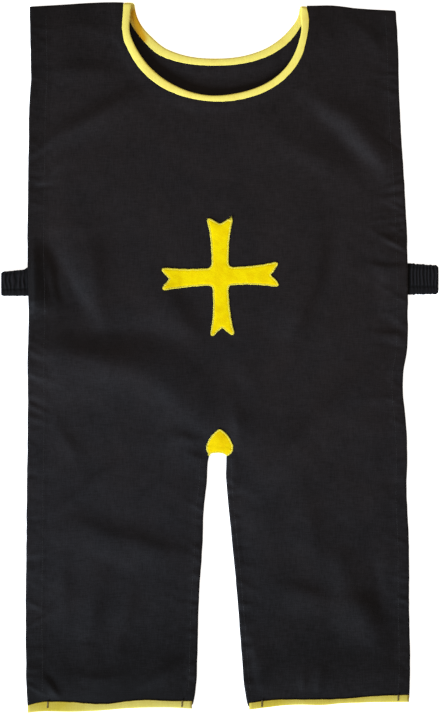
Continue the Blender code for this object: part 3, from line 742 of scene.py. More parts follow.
def patch_outline():
    """The drop from its point down both sides to the slit's head."""
    left = [Vector((PATCH_X - row.half_width, PATCH_TOP - row.down)) for row in PATCH]
    right = [Vector((PATCH_X + row.half_width, PATCH_TOP - row.down)) for row in PATCH[::-1]]
    head_left = Vector((float(edge_x("slit left", SLIT_HEAD_Y)), SLIT_HEAD_Y))
    head_right = Vector((float(edge_x("slit right", SLIT_HEAD_Y)), SLIT_HEAD_Y))
    head = [head_left] + [Vector(spot) for spot in SLIT_HEAD] + [head_right]
    return [Vector((PATCH_X, PATCH_TOP))] + left + head + right


def outward(points):
    """The outward direction at each point of a closed line that runs counterclockwise."""
    tangent = np.roll(points, -1, axis=0) - np.roll(points, 1, axis=0)
    tangent /= np.hypot(*tangent.T)[:, None]
    return np.stack([tangent[:, 1], -tangent[:, 0]], axis=1)


def evened(loop, smoothing, unevenness, seed):
    """The closed line with even points, its corners rounded and its edge a little uneven."""
    closed = np.array([tuple(p) for p in loop + loop[:1]])
    lengths = np.concatenate([[0.0], np.cumsum(np.hypot(*np.diff(closed, axis=0).T))])
    count = int(lengths[-1] / OUTLINE_STEP)
    at = np.arange(count) * lengths[-1] / count
    even = np.stack([np.interp(at, lengths, column) for column in closed.T], axis=1)
    half = int(3 * smoothing / OUTLINE_STEP)
    shifts = range(-half, half + 1)
    weights = bell(np.array(shifts) * OUTLINE_STEP, smoothing * math.sqrt(2.0))
    weights /= weights.sum()
    smooth = sum(weight * np.roll(even, -shift, axis=0) for weight, shift in zip(weights, shifts))
    waver = uneven(*smooth.T, Lumps(unevenness, APPLIQUE_LUMPS, seed))
    return line_of(*(smooth + outward(smooth) * waver[:, None]).T)


def inset_line(loop, distance):
    """The closed line moved inwards."""
    points = np.array([tuple(p) for p in loop])
    return line_of(*(points - outward(points) * distance).T)


def turned_left(loop):
    """The closed line, run counterclockwise."""
    area = sum(a.x * b.y - b.x * a.y for a, b in around(loop))
    return loop if area > 0.0 else loop[::-1]


# Meshes

def inside(loop, xs, ys):
    """Which places lie within a closed line."""
    crossings = np.zeros(xs.shape, int)
    for a, b in around(loop):
        if a.y == b.y:
            continue
        spans = (a.y > ys) != (b.y > ys)
        crossings += spans & (a.x + (b.x - a.x) * (ys - a.y) / (b.y - a.y) > xs)
    return crossings % 2 == 1


def grid(outline, step):
    """A staggered grid over the outline's box."""
    row_step = step * math.sqrt(3.0) / 2.0
    left = min(p.x for p in outline)
    right = max(p.x for p in outline)
    bottom = min(p.y for p in outline)
    top = max(p.y for p in outline)
    rows = np.arange(bottom, top, row_step)
    columns = np.arange(left, right, step)
    xs, ys = np.meshgrid(columns, rows)
    xs = xs + (np.arange(len(rows)) % 2)[:, None] * step / 2.0
    return xs.ravel(), ys.ravel()


def distance_to(loop, xs, ys, closed=True):
    """How far places lie from a line."""
    sides = around(loop) if closed else zip(loop, loop[1:])
    return np.minimum.reduce([to_segment(a, b, xs, ys)[1] for a, b in sides])


def triangulate(outline, insets, xs, ys):
    """Points and triangles over the outline, with closed lines within it as edges of their own."""
    points = []
    edges = []
    for loop in [outline] + insets:
        first = len(points)
        count = len(loop)
        edges += [(first + i, first + (i + 1) % count) for i in range(count)]
        points += loop
    points += line_of(xs, ys)
    face = list(range(len(outline)))
    corners, _, faces, _, _, origins = delaunay_2d_cdt(points, edges, [face], 0, SAME_PLACE)
    kept = [tri for tri, origin in zip(faces, origins) if 0 in origin]
    used = sorted({i for tri in kept for i in tri})
    new = {old: i for i, old in enumerate(used)}
    places = np.array([(corners[i].x, corners[i].y) for i in used])
    return places, [tuple(new[i] for i in tri) for tri in kept]


def put(name, data):
    thing = bpy.data.objects.new(name, data)
    bpy.context.scene.collection.objects.link(thing)
    return thing


def add_object(name, points, faces, material, smooth=True):
    mesh = bpy.data.meshes.new(name)
    mesh.from_pydata((np.asarray(points, float) * MM).tolist(), [], faces)
    mesh.polygons.foreach_set("use_smooth", [smooth] * len(mesh.polygons))
    mesh.materials.append(material)
    return put(name, mesh)


def shell(name, places, triangles, top, under, bulge, material):
    """A thin closed cloth with a rounded edge."""
    count = len(places)
    rim = {(tri[i], tri[(i + 1) % 3]) for tri in triangles for i in range(3)}
    rim = sorted((a, b) for a, b in rim if (b, a) not in rim)
    out = np.zeros((count, 2))
    for a, b in rim:
        along = places[b] - places[a]
        normal = np.array([along[1], -along[0]]) / max(np.hypot(*along), 1e-9)
        out[a] += normal
        out[b] += normal
    on_rim = sorted({i for edge in rim for i in edge})
    middle = {old: 2 * count + i for i, old in enumerate(on_rim)}
    out = out[on_rim] / np.maximum(np.hypot(*out[on_rim].T), 1e-9)[:, None]
    edge_places = places[on_rim] + out * bulge
    edge_height = (top + under)[on_rim] / 2.0
    points = np.vstack([
        np.column_stack([places, under]),
        np.column_stack([places, top]),
        np.column_stack([edge_places, edge_height]),
    ])
    faces = [tuple(i + count for i in tri) for tri in triangles]
    faces += [tuple(reversed(tri)) for tri in triangles]
    for a, b in rim:
        faces.append((a, b, middle[b], middle[a]))
        faces.append((middle[a], middle[b], b + count, a + count))
    return add_object(name, points, faces, material)


def skin(size, count, closed, first=0):
    """Faces over rings of points, with caps on the ends if the rings don't close."""
    faces = []
    for i in range(count if closed else count - 1):
        here = first + i * size
        there = first + (i + 1) % count * size
        for k in range(size):
            then = (k + 1) % size
            faces.append((here + k, here + then, there + then, there + k))
    if not closed:
        last = first + (count - 1) * size
        faces.append(tuple(range(first, first + size)))
        faces.append(tuple(last + k for k in reversed(range(size))))
    return faces


def face_out(thing):
    shape = bmesh.new()
    shape.from_mesh(thing.data)
    bmesh.ops.recalc_face_normals(shape, faces=shape.faces)
    shape.to_mesh(thing.data)
    shape.free()
    return thing


def strip(name, rings, closed, material):
    points = [point for ring in rings for point in ring]
    return face_out(add_object(name, points, skin(len(rings[0]), len(rings), closed), material))


def add_values(thing, name, values):
    """A number for each point, which the finish reads."""
    attribute = thing.data.attributes.new(name, "FLOAT", "POINT")
    attribute.data.foreach_set("value", np.asarray(values, float))


# Finishes

# Colours, matched to the photo under this scene's light
# BLACK_COOL and BLACK_WARM are mixed as a painted tint of the light's colour: cool where the window's light
# is strongest, warm under the room's light
BLACK_COOL = (0.0103, 0.00935, 0.0109)
BLACK_WARM = (0.0119, 0.0089, 0.0089)
# Painted shade in the gathers' hollows and painted light on their crests
CASING_HOLLOW = (0.0016, 0.0014, 0.0016)
CASING_CREST = (0.0088, 0.0075, 0.0088)
NECK_TAPE_LIGHT = (0.77, 0.64, 0.126)
# NECK_TAPE_GOLDEN is painted shade on the neck tape
NECK_TAPE_GOLDEN = (0.60, 0.31, 0.011)
HEM_TAPE_LIGHT = (0.555, 0.470, 0.104)
HEM_TAPE_GOLDEN = (0.46, 0.355, 0.036)
CROSS_LIGHT = (0.80, 0.61, 0.0013)
CROSS_DEEP = (0.74, 0.51, 0.001)
PATCH_LIGHT = (0.71, 0.51, 0.0012)
PATCH_DEEP = (0.66, 0.41, 0.001)
SATIN_YELLOW = (0.86, 0.74, 0.05)
THREAD_BLACK = (0.012, 0.011, 0.012)
TACK_OLIVE = (0.16, 0.11, 0.015)

# Spacing of the weaves' threads, and the stretch of a slub along its thread
CLOTH_PITCH = 0.62
TAPE_PITCH = 0.5
APPLIQUE_PITCH = 0.7
CASING_PITCH = 0.6
ALONG_WARP = (1.0, 0.12, 1.0)
ALONG_WEFT = (0.12, 1.0, 1.0)
ALONG_BIAS = (1.0, 0.15, 1.0)
ALONG_TWIST = (1.0, 0.3, 1.0)


class Value:
    """A socket or number in a finish, so that its maths reads as plain sums."""

    def __init__(self, finish, socket):
        self.finish = finish
        self.socket = socket

    def sum_with(self, operation, other, swapped=False):
        pair = [other, self] if swapped else [self, other]
        return self.finish.add("ShaderNodeMath", {"operation": operation}, pair)

    def __add__(self, other):
        return self.sum_with("ADD", other)

    def __sub__(self, other):
        return self.sum_with("SUBTRACT", other)

    def __rsub__(self, other):
        return self.sum_with("SUBTRACT", other, swapped=True)

    def __mul__(self, other):
        return self.sum_with("MULTIPLY", other)

    def most(self, other):
        return self.sum_with("MAXIMUM", other)

    def wave(self):
        return self.finish.add("ShaderNodeMath", {"operation": "SINE"}, [self])

    def between(self, low, high, start=0.0, end=1.0):
        """The value's way from low to high, as a smooth share from start to end."""
        settings = {"interpolation_type": "SMOOTHSTEP"}
        return self.finish.add("ShaderNodeMapRange", settings, [self, low, high, start, end])

    __radd__ = __add__
    __rmul__ = __mul__


class Finish:
    """A material, and the one way that nodes are added to it."""

    def __init__(self, name, constants):
        self.material = bpy.data.materials.new(name)
        self.material.use_nodes = True
        self.nodes = self.material.node_tree.nodes
        self.links = self.material.node_tree.links
        self.shader = self.nodes["Principled BSDF"]
        for socket, number in constants.items():
            self.shader.inputs[socket].default_value = number
        self.place = self.add("ShaderNodeTexCoord", {}, {}, "Object")

    def add(self, kind, settings, values, output=0):
        """A node of this type. Its settings come first, then its sockets' numbers or links."""
        node = self.nodes.new(kind)
        for name, setting in settings.items():
            setattr(node, name, setting)
        named = values.items() if isinstance(values, dict) else enumerate(values)
        for key, value in named:
            self.join(node.inputs[key], value)
        return Value(self, node.outputs[output])

    def join(self, socket, value):
        if isinstance(value, Value):
            self.links.new(value.socket, socket)
        else:
            socket.default_value = value

    def feed(self, name, value):
        self.join(self.shader.inputs[name], value)

    def turned(self, degrees, stretch=(1.0, 1.0, 1.0)):
        """Places in millimetres, turned about Z and then stretched."""
        turn = math.radians(degrees)
        scale = tuple(s / MM for s in stretch)
        values = {"Vector": self.place, "Rotation": (0.0, 0.0, turn), "Scale": scale}
        return self.add("ShaderNodeMapping", {}, values)

    def lumps(self, place, size, depth=2.0, roughness=0.5, distortion=0.0):
        values = {"Vector": place, "Scale": 1.0 / size, "Detail": depth, "Roughness": roughness}
        values["Distortion"] = distortion
        return self.add("ShaderNodeTexNoise", {}, values, "Fac")

    def part(self, place, axis):
        return self.add("ShaderNodeSeparateXYZ", {}, [place], axis)

    def point_value(self, name):
        return self.add("ShaderNodeAttribute", {"attribute_name": name}, [], "Fac")

    def mixed(self, share, first, second):
        """A colour between two."""
        node = self.nodes.new("ShaderNodeMix")
        node.data_type = "RGBA"
        self.join(node.inputs["Factor"], share)
        self.join(node.inputs[6], first if isinstance(first, Value) else (*first, 1.0))
        self.join(node.inputs[7], second if isinstance(second, Value) else (*second, 1.0))
        return Value(self, node.outputs[2])

    def shaded(self, colour, amount):
        """A colour made lighter or darker by a number."""
        return self.add("ShaderNodeVectorMath", {"operation": "SCALE"}, {0: colour, "Scale": amount})

    def relief(self, height, distance):
        values = {"Height": height, "Distance": distance * MM}
        self.feed("Normal", self.add("ShaderNodeBump", {}, values, "Normal"))


def weave(finish, pitch, degrees=0.0):
    """The height of a plain weave, from 0 to 1: warp over weft and weft over warp."""
    place = finish.turned(degrees)
    sway = finish.lumps(place, 7.0, 1.0) * 2.4
    across = finish.part(place, "X") * (math.pi / pitch) + sway
    along = finish.part(place, "Y") * (math.pi / pitch) + sway
    return (across.wave() * along.wave()) * 0.5 + 0.5


def black_cloth(name):
    """Black cotton: a plain weave with slubs, faintly mottled where it has been handled, with painted shade
    from each point's dark value and a painted cool-to-warm tint of the light's colour.
    """
    finish = Finish(name, {
        "Specular IOR Level": 0.12,
        "Sheen Weight": 0.02,
        "Sheen Roughness": 0.45,
        "Sheen Tint": (0.62, 0.62, 0.78, 1.0),
    })
    plain = finish.turned(0.0)
    warp = finish.lumps(finish.turned(0.0, ALONG_WARP), 1.2, 3.0, 0.6)
    weft = finish.lumps(finish.turned(0.0, ALONG_WEFT), 1.3, 3.0, 0.6)
    slubs = warp + weft - 1.0
    clouds = finish.lumps(plain, 46.0, 3.0, 0.55)
    spots = finish.lumps(plain, 9.0, 3.0, 0.55)
    # Painted shade: each point's dark value makes the black darker
    tone = 0.83 - finish.point_value("dark") * 0.31
    tone = tone + slubs * 0.8 + (clouds - 0.5) * 0.5 + (spots - 0.5) * 0.34
    # Painted light colour: cool at the bottom, warmer towards the top and the right, with some random
    # clouding
    painted_light_tint = finish.part(plain, "Y").between(-400.0, 400.0) + (clouds - 0.5) * 1.2
    painted_light_tint = painted_light_tint + finish.part(plain, "X").between(0.0, 110.0) * 0.35
    colour = finish.mixed(painted_light_tint, BLACK_COOL, BLACK_WARM)
    finish.feed("Base Color", finish.shaded(colour, tone.most(0.3)))
    finish.feed("Roughness", 0.56 + slubs * 0.3)
    finish.relief(weave(finish, CLOTH_PITCH) * 0.3 + slubs * 0.8 + spots * 0.6, 0.12)
    return finish.material


def yellow_tape(name, light, golden):
    """Bias tape: a fine weave that runs on the slant, mixed towards golden by each point's shade value:
    painted shade on the neck's tape, and listed bands along the hems.
    """
    finish = Finish(name, {"Specular IOR Level": 0.2, "Specular Tint": (1.0, 0.9, 0.4, 1.0)})
    slubs = finish.lumps(finish.turned(45.0, ALONG_BIAS), 1.6, 2.0, 0.6)
    clouds = finish.lumps(finish.turned(0.0), 17.0, 2.0)
    colour = finish.mixed((clouds - 0.5) * 0.9 + finish.point_value("shade"), light, golden)
    finish.feed("Base Color", finish.shaded(colour, 1.0 + (slubs - 0.5) * 0.22))
    finish.feed("Roughness", 0.62 + slubs * 0.2)
    finish.relief(weave(finish, TAPE_PITCH, 45.0) * 0.4 + slubs, 0.1)
    return finish.material


def yellow_applique(name, light, deep):
    """Thick brushed cotton, mottled where the nap lies different ways."""
    finish = Finish(name, {"Specular IOR Level": 0.12, "Specular Tint": (1.0, 0.8, 0.02, 1.0)})
    place = finish.turned(0.0)
    nap = finish.lumps(place, 2.4, 4.0, 0.65, 0.4)
    clouds = finish.lumps(place, 9.0, 2.0)
    colour = finish.mixed(clouds.between(0.38, 0.66) * 0.7 + (nap - 0.5) * 0.8, light, deep)
    finish.feed("Base Color", finish.shaded(colour, 1.0 + (nap - 0.5) * 0.16))
    finish.feed("Roughness", 0.7 + (nap - 0.5) * 0.3)
    finish.relief(nap + weave(finish, APPLIQUE_PITCH) * 0.25, 0.16)
    return finish.material


def thread(name, colour):
    """Twisted sewing thread."""
    finish = Finish(name, {"Specular IOR Level": 0.4, "Sheen Weight": 0.1})
    twist = finish.lumps(finish.turned(30.0, ALONG_TWIST), 0.5, 1.0)
    finish.feed("Base Color", finish.mixed(twist, tuple(c * 0.8 for c in colour), colour))
    finish.feed("Roughness", 0.5 + (twist - 0.5) * 0.2)
    finish.relief(twist, 0.05)
    return finish.material


def black_casing(name):
    """The gathered casing: the same cotton, with painted light on the crests of its gathers and painted
    shade in their hollows, its grooves and at its joint.
    """
    finish = Finish(name, {
        "Specular IOR Level": 0.12,
        "Sheen Weight": 0.01,
        "Sheen Roughness": 0.4,
        "Sheen Tint": (0.6, 0.6, 0.8, 1.0),
    })
    slubs = finish.lumps(finish.turned(0.0, ALONG_WARP), 1.5, 3.0, 0.6)
    crest = finish.point_value("crest").between(0.2, 1.0)
    colour = finish.mixed(crest, CASING_HOLLOW, CASING_CREST)
    finish.feed("Base Color", finish.shaded(colour, 0.7 + slubs * 0.6))
    finish.feed("Roughness", 0.66 + slubs * 0.2)
    finish.relief(slubs + weave(finish, CASING_PITCH) * 0.35, 0.14)
    return finish.material


# Threads that follow a path, by Geometry Nodes

THREAD_STEPS = 4
THREAD_SIDES = 6
THREAD_SHORTEST = 0.86  # as a share of its length
THREAD_LONGEST = 1.12
SLOPE_STEP = 0.6        # over which a surface's slope is taken

Stitch = namedtuple("Stitch", "step length radius hump turn unevenness")
RUNNING = Stitch(step=3.0, length=2.3, radius=0.17, hump=0.16, turn=0.0, unevenness=0.08)
SATIN = Stitch(step=0.62, length=2.1, radius=0.26, hump=0.45, turn=math.pi / 2, unevenness=0.14)
TACKING = Stitch(step=0.6, length=1.9, radius=0.26, hump=0.3, turn=math.pi / 2, unevenness=0.35)


def add_inputs(tree, inputs):
    """Named inputs, each with its kind and default, and a geometry going in and out."""
    tree.interface.new_socket("Path", in_out="INPUT", socket_type="NodeSocketGeometry")
    tree.interface.new_socket("Threads", in_out="OUTPUT", socket_type="NodeSocketGeometry")
    for name, (kind, default) in inputs.items():
        socket = tree.interface.new_socket(name, in_out="INPUT", socket_type=kind)
        if default is not None:
            socket.default_value = default


def thread_tree():
    """Short threads at even steps along a path, each turned across it and lying on the cloth."""
    tree = bpy.data.node_groups.new("threads along a path", "GeometryNodeTree")
    add_inputs(tree, {
        "Step": ("NodeSocketFloat", 0.003),
        "Length": ("NodeSocketFloat", 0.002),
        "Radius": ("NodeSocketFloat", 0.0002),
        "Hump": ("NodeSocketFloat", 0.0002),
        "Turn": ("NodeSocketFloat", 0.0),
        "Unevenness": ("NodeSocketFloat", 0.1),
        "Seed": ("NodeSocketInt", 1),
        "Material": ("NodeSocketMaterial", None),
    })

    def add(kind, values=None, output=0, **settings):
        node = tree.nodes.new(kind)
        for name, setting in settings.items():
            setattr(node, name, setting)
        for key, value in (values or {}).items():
            if isinstance(value, bpy.types.NodeSocket):
                tree.links.new(value, node.inputs[key])
            else:
                node.inputs[key].default_value = value
        return node.outputs[output]

    def times(value, number):
        return add("ShaderNodeMath", {0: value, 1: number}, operation="MULTIPLY")

    given = tree.nodes.new("NodeGroupInput").outputs
    arc = add("GeometryNodeCurveQuadraticBezier", {
        "Resolution": THREAD_STEPS,
        "Start": add("ShaderNodeCombineXYZ", {"X": times(given["Length"], -0.5)}),
        "Middle": add("ShaderNodeCombineXYZ", {"Z": given["Hump"]}),
        "End": add("ShaderNodeCombineXYZ", {"X": times(given["Length"], 0.5)}),
    })
    circle = {"Resolution": THREAD_SIDES, "Radius": given["Radius"]}
    ring = add("GeometryNodeCurvePrimitiveCircle", circle, mode="RADIUS")
    body = add("GeometryNodeCurveToMesh", {"Curve": arc, "Profile Curve": ring, "Fill Caps": True})
    path = add("GeometryNodeMeshToCurve", {"Mesh": given["Path"]})
    even = add("GeometryNodeResampleCurve", {"Curve": path, "Length": given["Step"]}, mode="LENGTH")
    up = add("GeometryNodeInputNamedAttribute", {"Name": "up"}, data_type="FLOAT_VECTOR")
    tangent = add("GeometryNodeInputTangent")
    along = add("FunctionNodeAlignRotationToVector", {"Vector": tangent}, axis="X")
    upright = {"Rotation": along, "Vector": up}
    lying = add("FunctionNodeAlignRotationToVector", upright, axis="Z", pivot_axis="X")
    most = given["Unevenness"]
    swaying = {2: times(most, -1.0), 3: most, "Seed": given["Seed"]}
    sway = add("FunctionNodeRandomValue", swaying, output=1, data_type="FLOAT")
    turn = add("ShaderNodeMath", {0: given["Turn"], 1: sway}, operation="ADD")
    spin = add("FunctionNodeAxisAngleToRotation", {"Axis": (0.0, 0.0, 1.0), "Angle": turn})
    turning = {"Rotation": lying, "Rotate By": spin}
    lengths = {2: THREAD_SHORTEST, 3: THREAD_LONGEST, "Seed": given["Seed"]}
    placed = add("GeometryNodeInstanceOnPoints", {
        "Points": even,
        "Instance": body,
        "Rotation": add("FunctionNodeRotateRotation", turning, rotation_space="LOCAL"),
        "Scale": add("FunctionNodeRandomValue", lengths, output=1, data_type="FLOAT"),
    })
    real = add("GeometryNodeRealizeInstances", {0: placed})
    soft = add("GeometryNodeSetShadeSmooth", {0: real})
    coloured = add("GeometryNodeSetMaterial", {"Geometry": soft, "Material": given["Material"]})
    tree.links.new(coloured, tree.nodes.new("NodeGroupOutput").inputs[0])
    return tree


THREADS = thread_tree()


def sew(name, lines, stitch, material, seed):
    """Threads along lines of (points, up directions), as one plain mesh."""
    points = []
    ups = []
    edges = []
    for line, directions in lines:
        edges += [(len(points) + i, len(points) + i + 1) for i in range(len(line) - 1)]
        points += [tuple(c * MM for c in point) for point in line]
        ups += directions
    mesh = bpy.data.meshes.new(name + " path")
    mesh.from_pydata(points, edges, [])
    upwards = mesh.attributes.new("up", "FLOAT_VECTOR", "POINT")
    upwards.data.foreach_set("vector", np.array(ups, float).ravel())
    path = put(name + " path", mesh)
    modifier = path.modifiers.new("threads", "NODES")
    modifier.node_group = THREADS
    given = {size: getattr(stitch, size.lower()) * MM for size in ("Step", "Length", "Radius", "Hump")}
    given.update({"Turn": stitch.turn, "Unevenness": stitch.unevenness, "Seed": seed, "Material": material})
    for item in THREADS.interface.items_tree:
        if item.in_out == "INPUT" and item.name in given:
            modifier[item.identifier] = given[item.name]
    ready = path.evaluated_get(bpy.context.evaluated_depsgraph_get())
    thing = put(name, bpy.data.meshes.new_from_object(ready))
    path.modifiers.clear()
    bpy.data.objects.remove(path, do_unlink=True)
    return thing


def on_surface(line, height, lift):
    """A line laid on a surface, with the surface's own direction at each point."""
    xs, ys = np.array(line, float).T
    slope_x = (height(xs + SLOPE_STEP, ys) - height(xs - SLOPE_STEP, ys)) / (2.0 * SLOPE_STEP)
    slope_y = (height(xs, ys + SLOPE_STEP) - height(xs, ys - SLOPE_STEP)) / (2.0 * SLOPE_STEP)
    ups = np.column_stack([-slope_x, -slope_y, np.ones(len(xs))])
    ups /= np.linalg.norm(ups, axis=1)[:, None]
    points = np.column_stack([xs, ys, height(xs, ys)]) + ups * lift
    return list(map(tuple, points)), list(map(tuple, ups))


def carry(piece, slot, *nodes):
    """Joins a piece to the part's root, and hides these nodes of the part."""
    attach(piece, "root")
    if nodes:
        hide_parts(*nodes)
    return piece


# The panels

# Spacing of a panel's points, by how far they lie from its edge
Zone = namedtuple("Zone", "start end step")
FRONT_ZONES = [Zone(0.0, 42.0, 2.9), Zone(42.0, FAR, 4.6)]
BACK_ZONES = [Zone(0.0, 24.0, 4.2), Zone(24.0, FAR, 9.0)]
EDGE_CLEAR = 1.2        # the least distance of a point from the edge

# Painted shade, where the black is drawn darker: how much, and over which places the shade comes in
HEM_SHADE = (270.0, 0.0)
RIGHT_LEG_DARK = 0.3
RIGHT_LEG_ACROSS = (-30.0, 60.0)
RIGHT_LEG_DOWN = (-70.0, -190.0)
LEFT_LEG_DARK = 0.85
LEFT_LEG_ACROSS = (-20.0, -50.0)
LEFT_LEG_SHADE = (150.0, 0.0)
SHOULDER_SHADE = (200.0, 0.0)
RIGHT_SHOULDER_DARK = 0.55
LEFT_SHOULDER_ACROSS = (-60.0, -120.0)
LEFT_SIDE_DARK = 0.7
LEFT_SIDE_SHADE = (30.0, 8.0)
LEFT_SIDE_UP = (-20.0, 40.0)

# Painted shadow round the left strap: how dark, how high and how far into the cloth
StrapShade = namedtuple("StrapShade", "dark height across")
STRAP_SHADE_Y = 82.0
STRAP_SHADES = [StrapShade(0.95, 30.0, (46.0, 6.0)), StrapShade(0.4, 50.0, (120.0, 40.0))]


def panel_points(outline, neck, zones):
    """Grid points inside the outline, with one spacing for each zone of distance from the edge."""
    found = []
    for zone in zones:
        xs, ys = grid(outline, zone.step)
        depth = np.minimum(edge_distance(xs, ys), neck_distance(neck, xs, ys))
        kept = (depth >= zone.start) & (depth < zone.end)
        xs, ys = xs[kept], ys[kept]
        kept = inside(outline, xs, ys)
        kept[kept] = distance_to(outline, xs[kept], ys[kept]) > min(EDGE_CLEAR, zone.step * 0.45)
        found.append((xs[kept], ys[kept]))
    return [np.concatenate(column) for column in zip(*found)]


def shade_cloth(thing):
    """How much painted shade each point gets: by the hem, the shoulders, the left side and its strap."""
    x, y = (np.array([corner.co[:2] for corner in thing.data.vertices]) / MM).T
    above_hem = y - hem_y(x)
    from_left = inward("left", x, y)
    low = way(above_hem, HEM_SHADE)
    low += RIGHT_LEG_DARK * way(x, RIGHT_LEG_ACROSS) * way(y, RIGHT_LEG_DOWN)
    low += LEFT_LEG_DARK * way(x, LEFT_LEG_ACROSS) * way(above_hem, LEFT_LEG_SHADE)
    high = RIGHT_SHOULDER_DARK + (1.0 - RIGHT_SHOULDER_DARK) * way(x, LEFT_SHOULDER_ACROSS)
    high = high * way(from_shoulder(x, y), SHOULDER_SHADE)
    dark = np.maximum(low, high)
    dark += LEFT_SIDE_DARK * way(from_left, LEFT_SIDE_SHADE) * way(y, LEFT_SIDE_UP)
    for shade in STRAP_SHADES:
        dark += shade.dark * bell(y - STRAP_SHADE_Y, shade.height) * way(from_left, shade.across)
    add_values(thing, "dark", dark)
    return thing


def make_panel(name, neck, zones, top, under, material):
    outline = panel_outline(neck)
    places, triangles = triangulate(outline, [], *panel_points(outline, neck, zones))
    x, y = places.T
    return shade_cloth(shell(name, places, triangles, top(x, y), under(x, y), CLOTH_EDGE, material))


# The bindings

# Half of the tape's section: how far in from its fold, and how far from the cloth's middle
Section = namedtuple("Section", "deep up")
TAPE_SECTION = [
    Section(0.0, 0.0),
    Section(0.10, 0.58),
    Section(0.40, 0.96),
    Section(1.1, 1.22),
    Section(2.2, 1.34),
    Section(4.4, 1.38),
    Section(6.0, 1.32),
    Section(6.8, 1.18),
    Section(7.3, 1.2),
    Section(7.85, 1.12),
    Section(8.0, 0.92),
    Section(7.9, 0.74),
    Section(6.6, 0.68),
    Section(4.0, 0.76),
    Section(1.4, 0.7),
    Section(0.7, 0.36),
]

# How each tape lies along its edge: how far its fold stands out past the edge's line, and its width,
# at shares of the neck's line, or at places along the hem
Tape = namedtuple("Tape", "at out width")
FRONT_NECK_TAPE = [
    Tape(0.0, 2.7, 9.2),
    Tape(0.02, 1.6, 8.8),
    Tape(0.045, 0.6, 8.9),
    Tape(0.075, -0.3, 8.5),
    Tape(0.105, 0.0, 9.5),
    Tape(0.13, 0.6, 9.4),
    Tape(0.22, 1.2, 10.2),
    Tape(0.31, 0.7, 9.6),
    Tape(0.36, 0.3, 8.7),
    Tape(0.44, -0.8, 7.1),
    Tape(0.51, -0.9, 7.3),
    Tape(0.58, -0.3, 8.2),
    Tape(0.75, -0.3, 8.6),
    Tape(0.84, 0.0, 9.0),
    Tape(0.89, 0.4, 8.3),
    Tape(0.925, 0.4, 7.9),
    Tape(0.96, 1.3, 9.0),
    Tape(0.985, 2.0, 9.2),
    Tape(1.0, 1.3, 6.8),
]
BACK_NECK_TAPE = [
    Tape(0.0, 3.0, 10.0),
    Tape(0.1, 3.5, 10.1),
    Tape(0.157, 3.8, 9.9),
    Tape(0.2, 3.8, 10.5),
    Tape(0.228, 3.4, 10.9),
    Tape(0.28, 1.7, 11.0),
    Tape(0.32, 0.9, 10.4),
    Tape(0.5, 0.2, 8.6),
    Tape(0.7, 1.4, 9.5),
    Tape(0.85, 2.4, 9.6),
    Tape(0.92, 1.2, 8.2),
    Tape(0.96, 0.5, 7.4),
    Tape(1.0, 0.7, 6.2),
]
HEM_TAPES = [
    Tape(-229.5, 1.9, 9.0),
    Tape(-216.0, 0.5, 11.4),
    Tape(-200.0, 0.4, 12.1),
    Tape(-180.0, 1.1, 12.1),
    Tape(-162.0, 1.0, 10.4),
    Tape(-141.0, 0.8, 8.3),
    Tape(-119.0, 1.0, 8.4),
    Tape(-90.0, 1.3, 9.7),
    Tape(-60.0, 1.1, 8.3),
    Tape(-35.0, 1.8, 9.6),
    Tape(35.0, 1.0, 8.4),
    Tape(58.0, 0.6, 8.5),
    Tape(80.0, 0.0, 7.3),
    Tape(101.0, 0.0, 6.6),
    Tape(123.0, 0.6, 7.2),
    Tape(143.0, -0.7, 5.9),
    Tape(166.0, -0.4, 6.8),
    Tape(188.0, 0.0, 7.8),
    Tape(210.0, 0.7, 8.7),
    Tape(225.0, 0.9, 8.7),
]
TAPE_WAVER = 0.4
TAPE_OVERLAP = 1.2      # how far each hem tape's ends reach past its panel's line
OVERLAP_EASE = 9.0

# Painted shade on the back's neck tape beside the left shoulder, where it lies low under the front and shows
# golden: from where to where, and how low
GOLDEN_START = (-102.5, 412.0)
GOLDEN_END = (-93.0, 381.0)
GOLDEN_WIDTH = 5.5
GOLDEN_HEIGHTS = (4.4, 3.8)
GOLDEN_STRENGTH = 1.3

# Where the hem tapes are golden: bands along the hem, and all of the right leg
HEM_BANDS = [Band(-202.0, 34.0, 1.0), Band(62.0, 16.0, 0.6)]
RIGHT_HEM_GOLDEN = 0.5
RIGHT_HEM_ACROSS = (10.0, 40.0)


def tape_rings(fold_line, inner_line, ats, rows, height, up, seed):
    """Rings round a tape on an edge, between the lines of its fold and of its inner edge."""
    profile = TAPE_SECTION + [Section(row.deep, -row.up) for row in TAPE_SECTION[:0:-1]]
    outs = read(rows, "at", "out", ats)
    widths = read(rows, "at", "width", ats)
    rings = []
    for i, (fold, inner) in enumerate(zip(fold_line, inner_line)):
        inwards = (inner - fold) / BINDING_WIDTH
        ring = []
        for row in profile:
            waver = TAPE_WAVER * noise.noise((i * 0.3, seed, float(row.up > 0)))
            deep = row.deep * (widths[i] + waver) / BINDING_WIDTH - outs[i]
            spot = fold + inwards * deep
            ring.append((spot.x, spot.y, row.up * up))
        rings.append(ring)
    rings = np.array(rings)
    rings[:, :, 2] += height(rings[:, :, 0], rings[:, :, 1])
    return rings


def neck_rings(neck, rows, height, up, seed):
    fold_line = neck_line(neck, 0.0)
    ats = np.linspace(0.0, 1.0, len(fold_line))
    return tape_rings(fold_line, neck_line(neck, BINDING_WIDTH), ats, rows, height, up, seed)


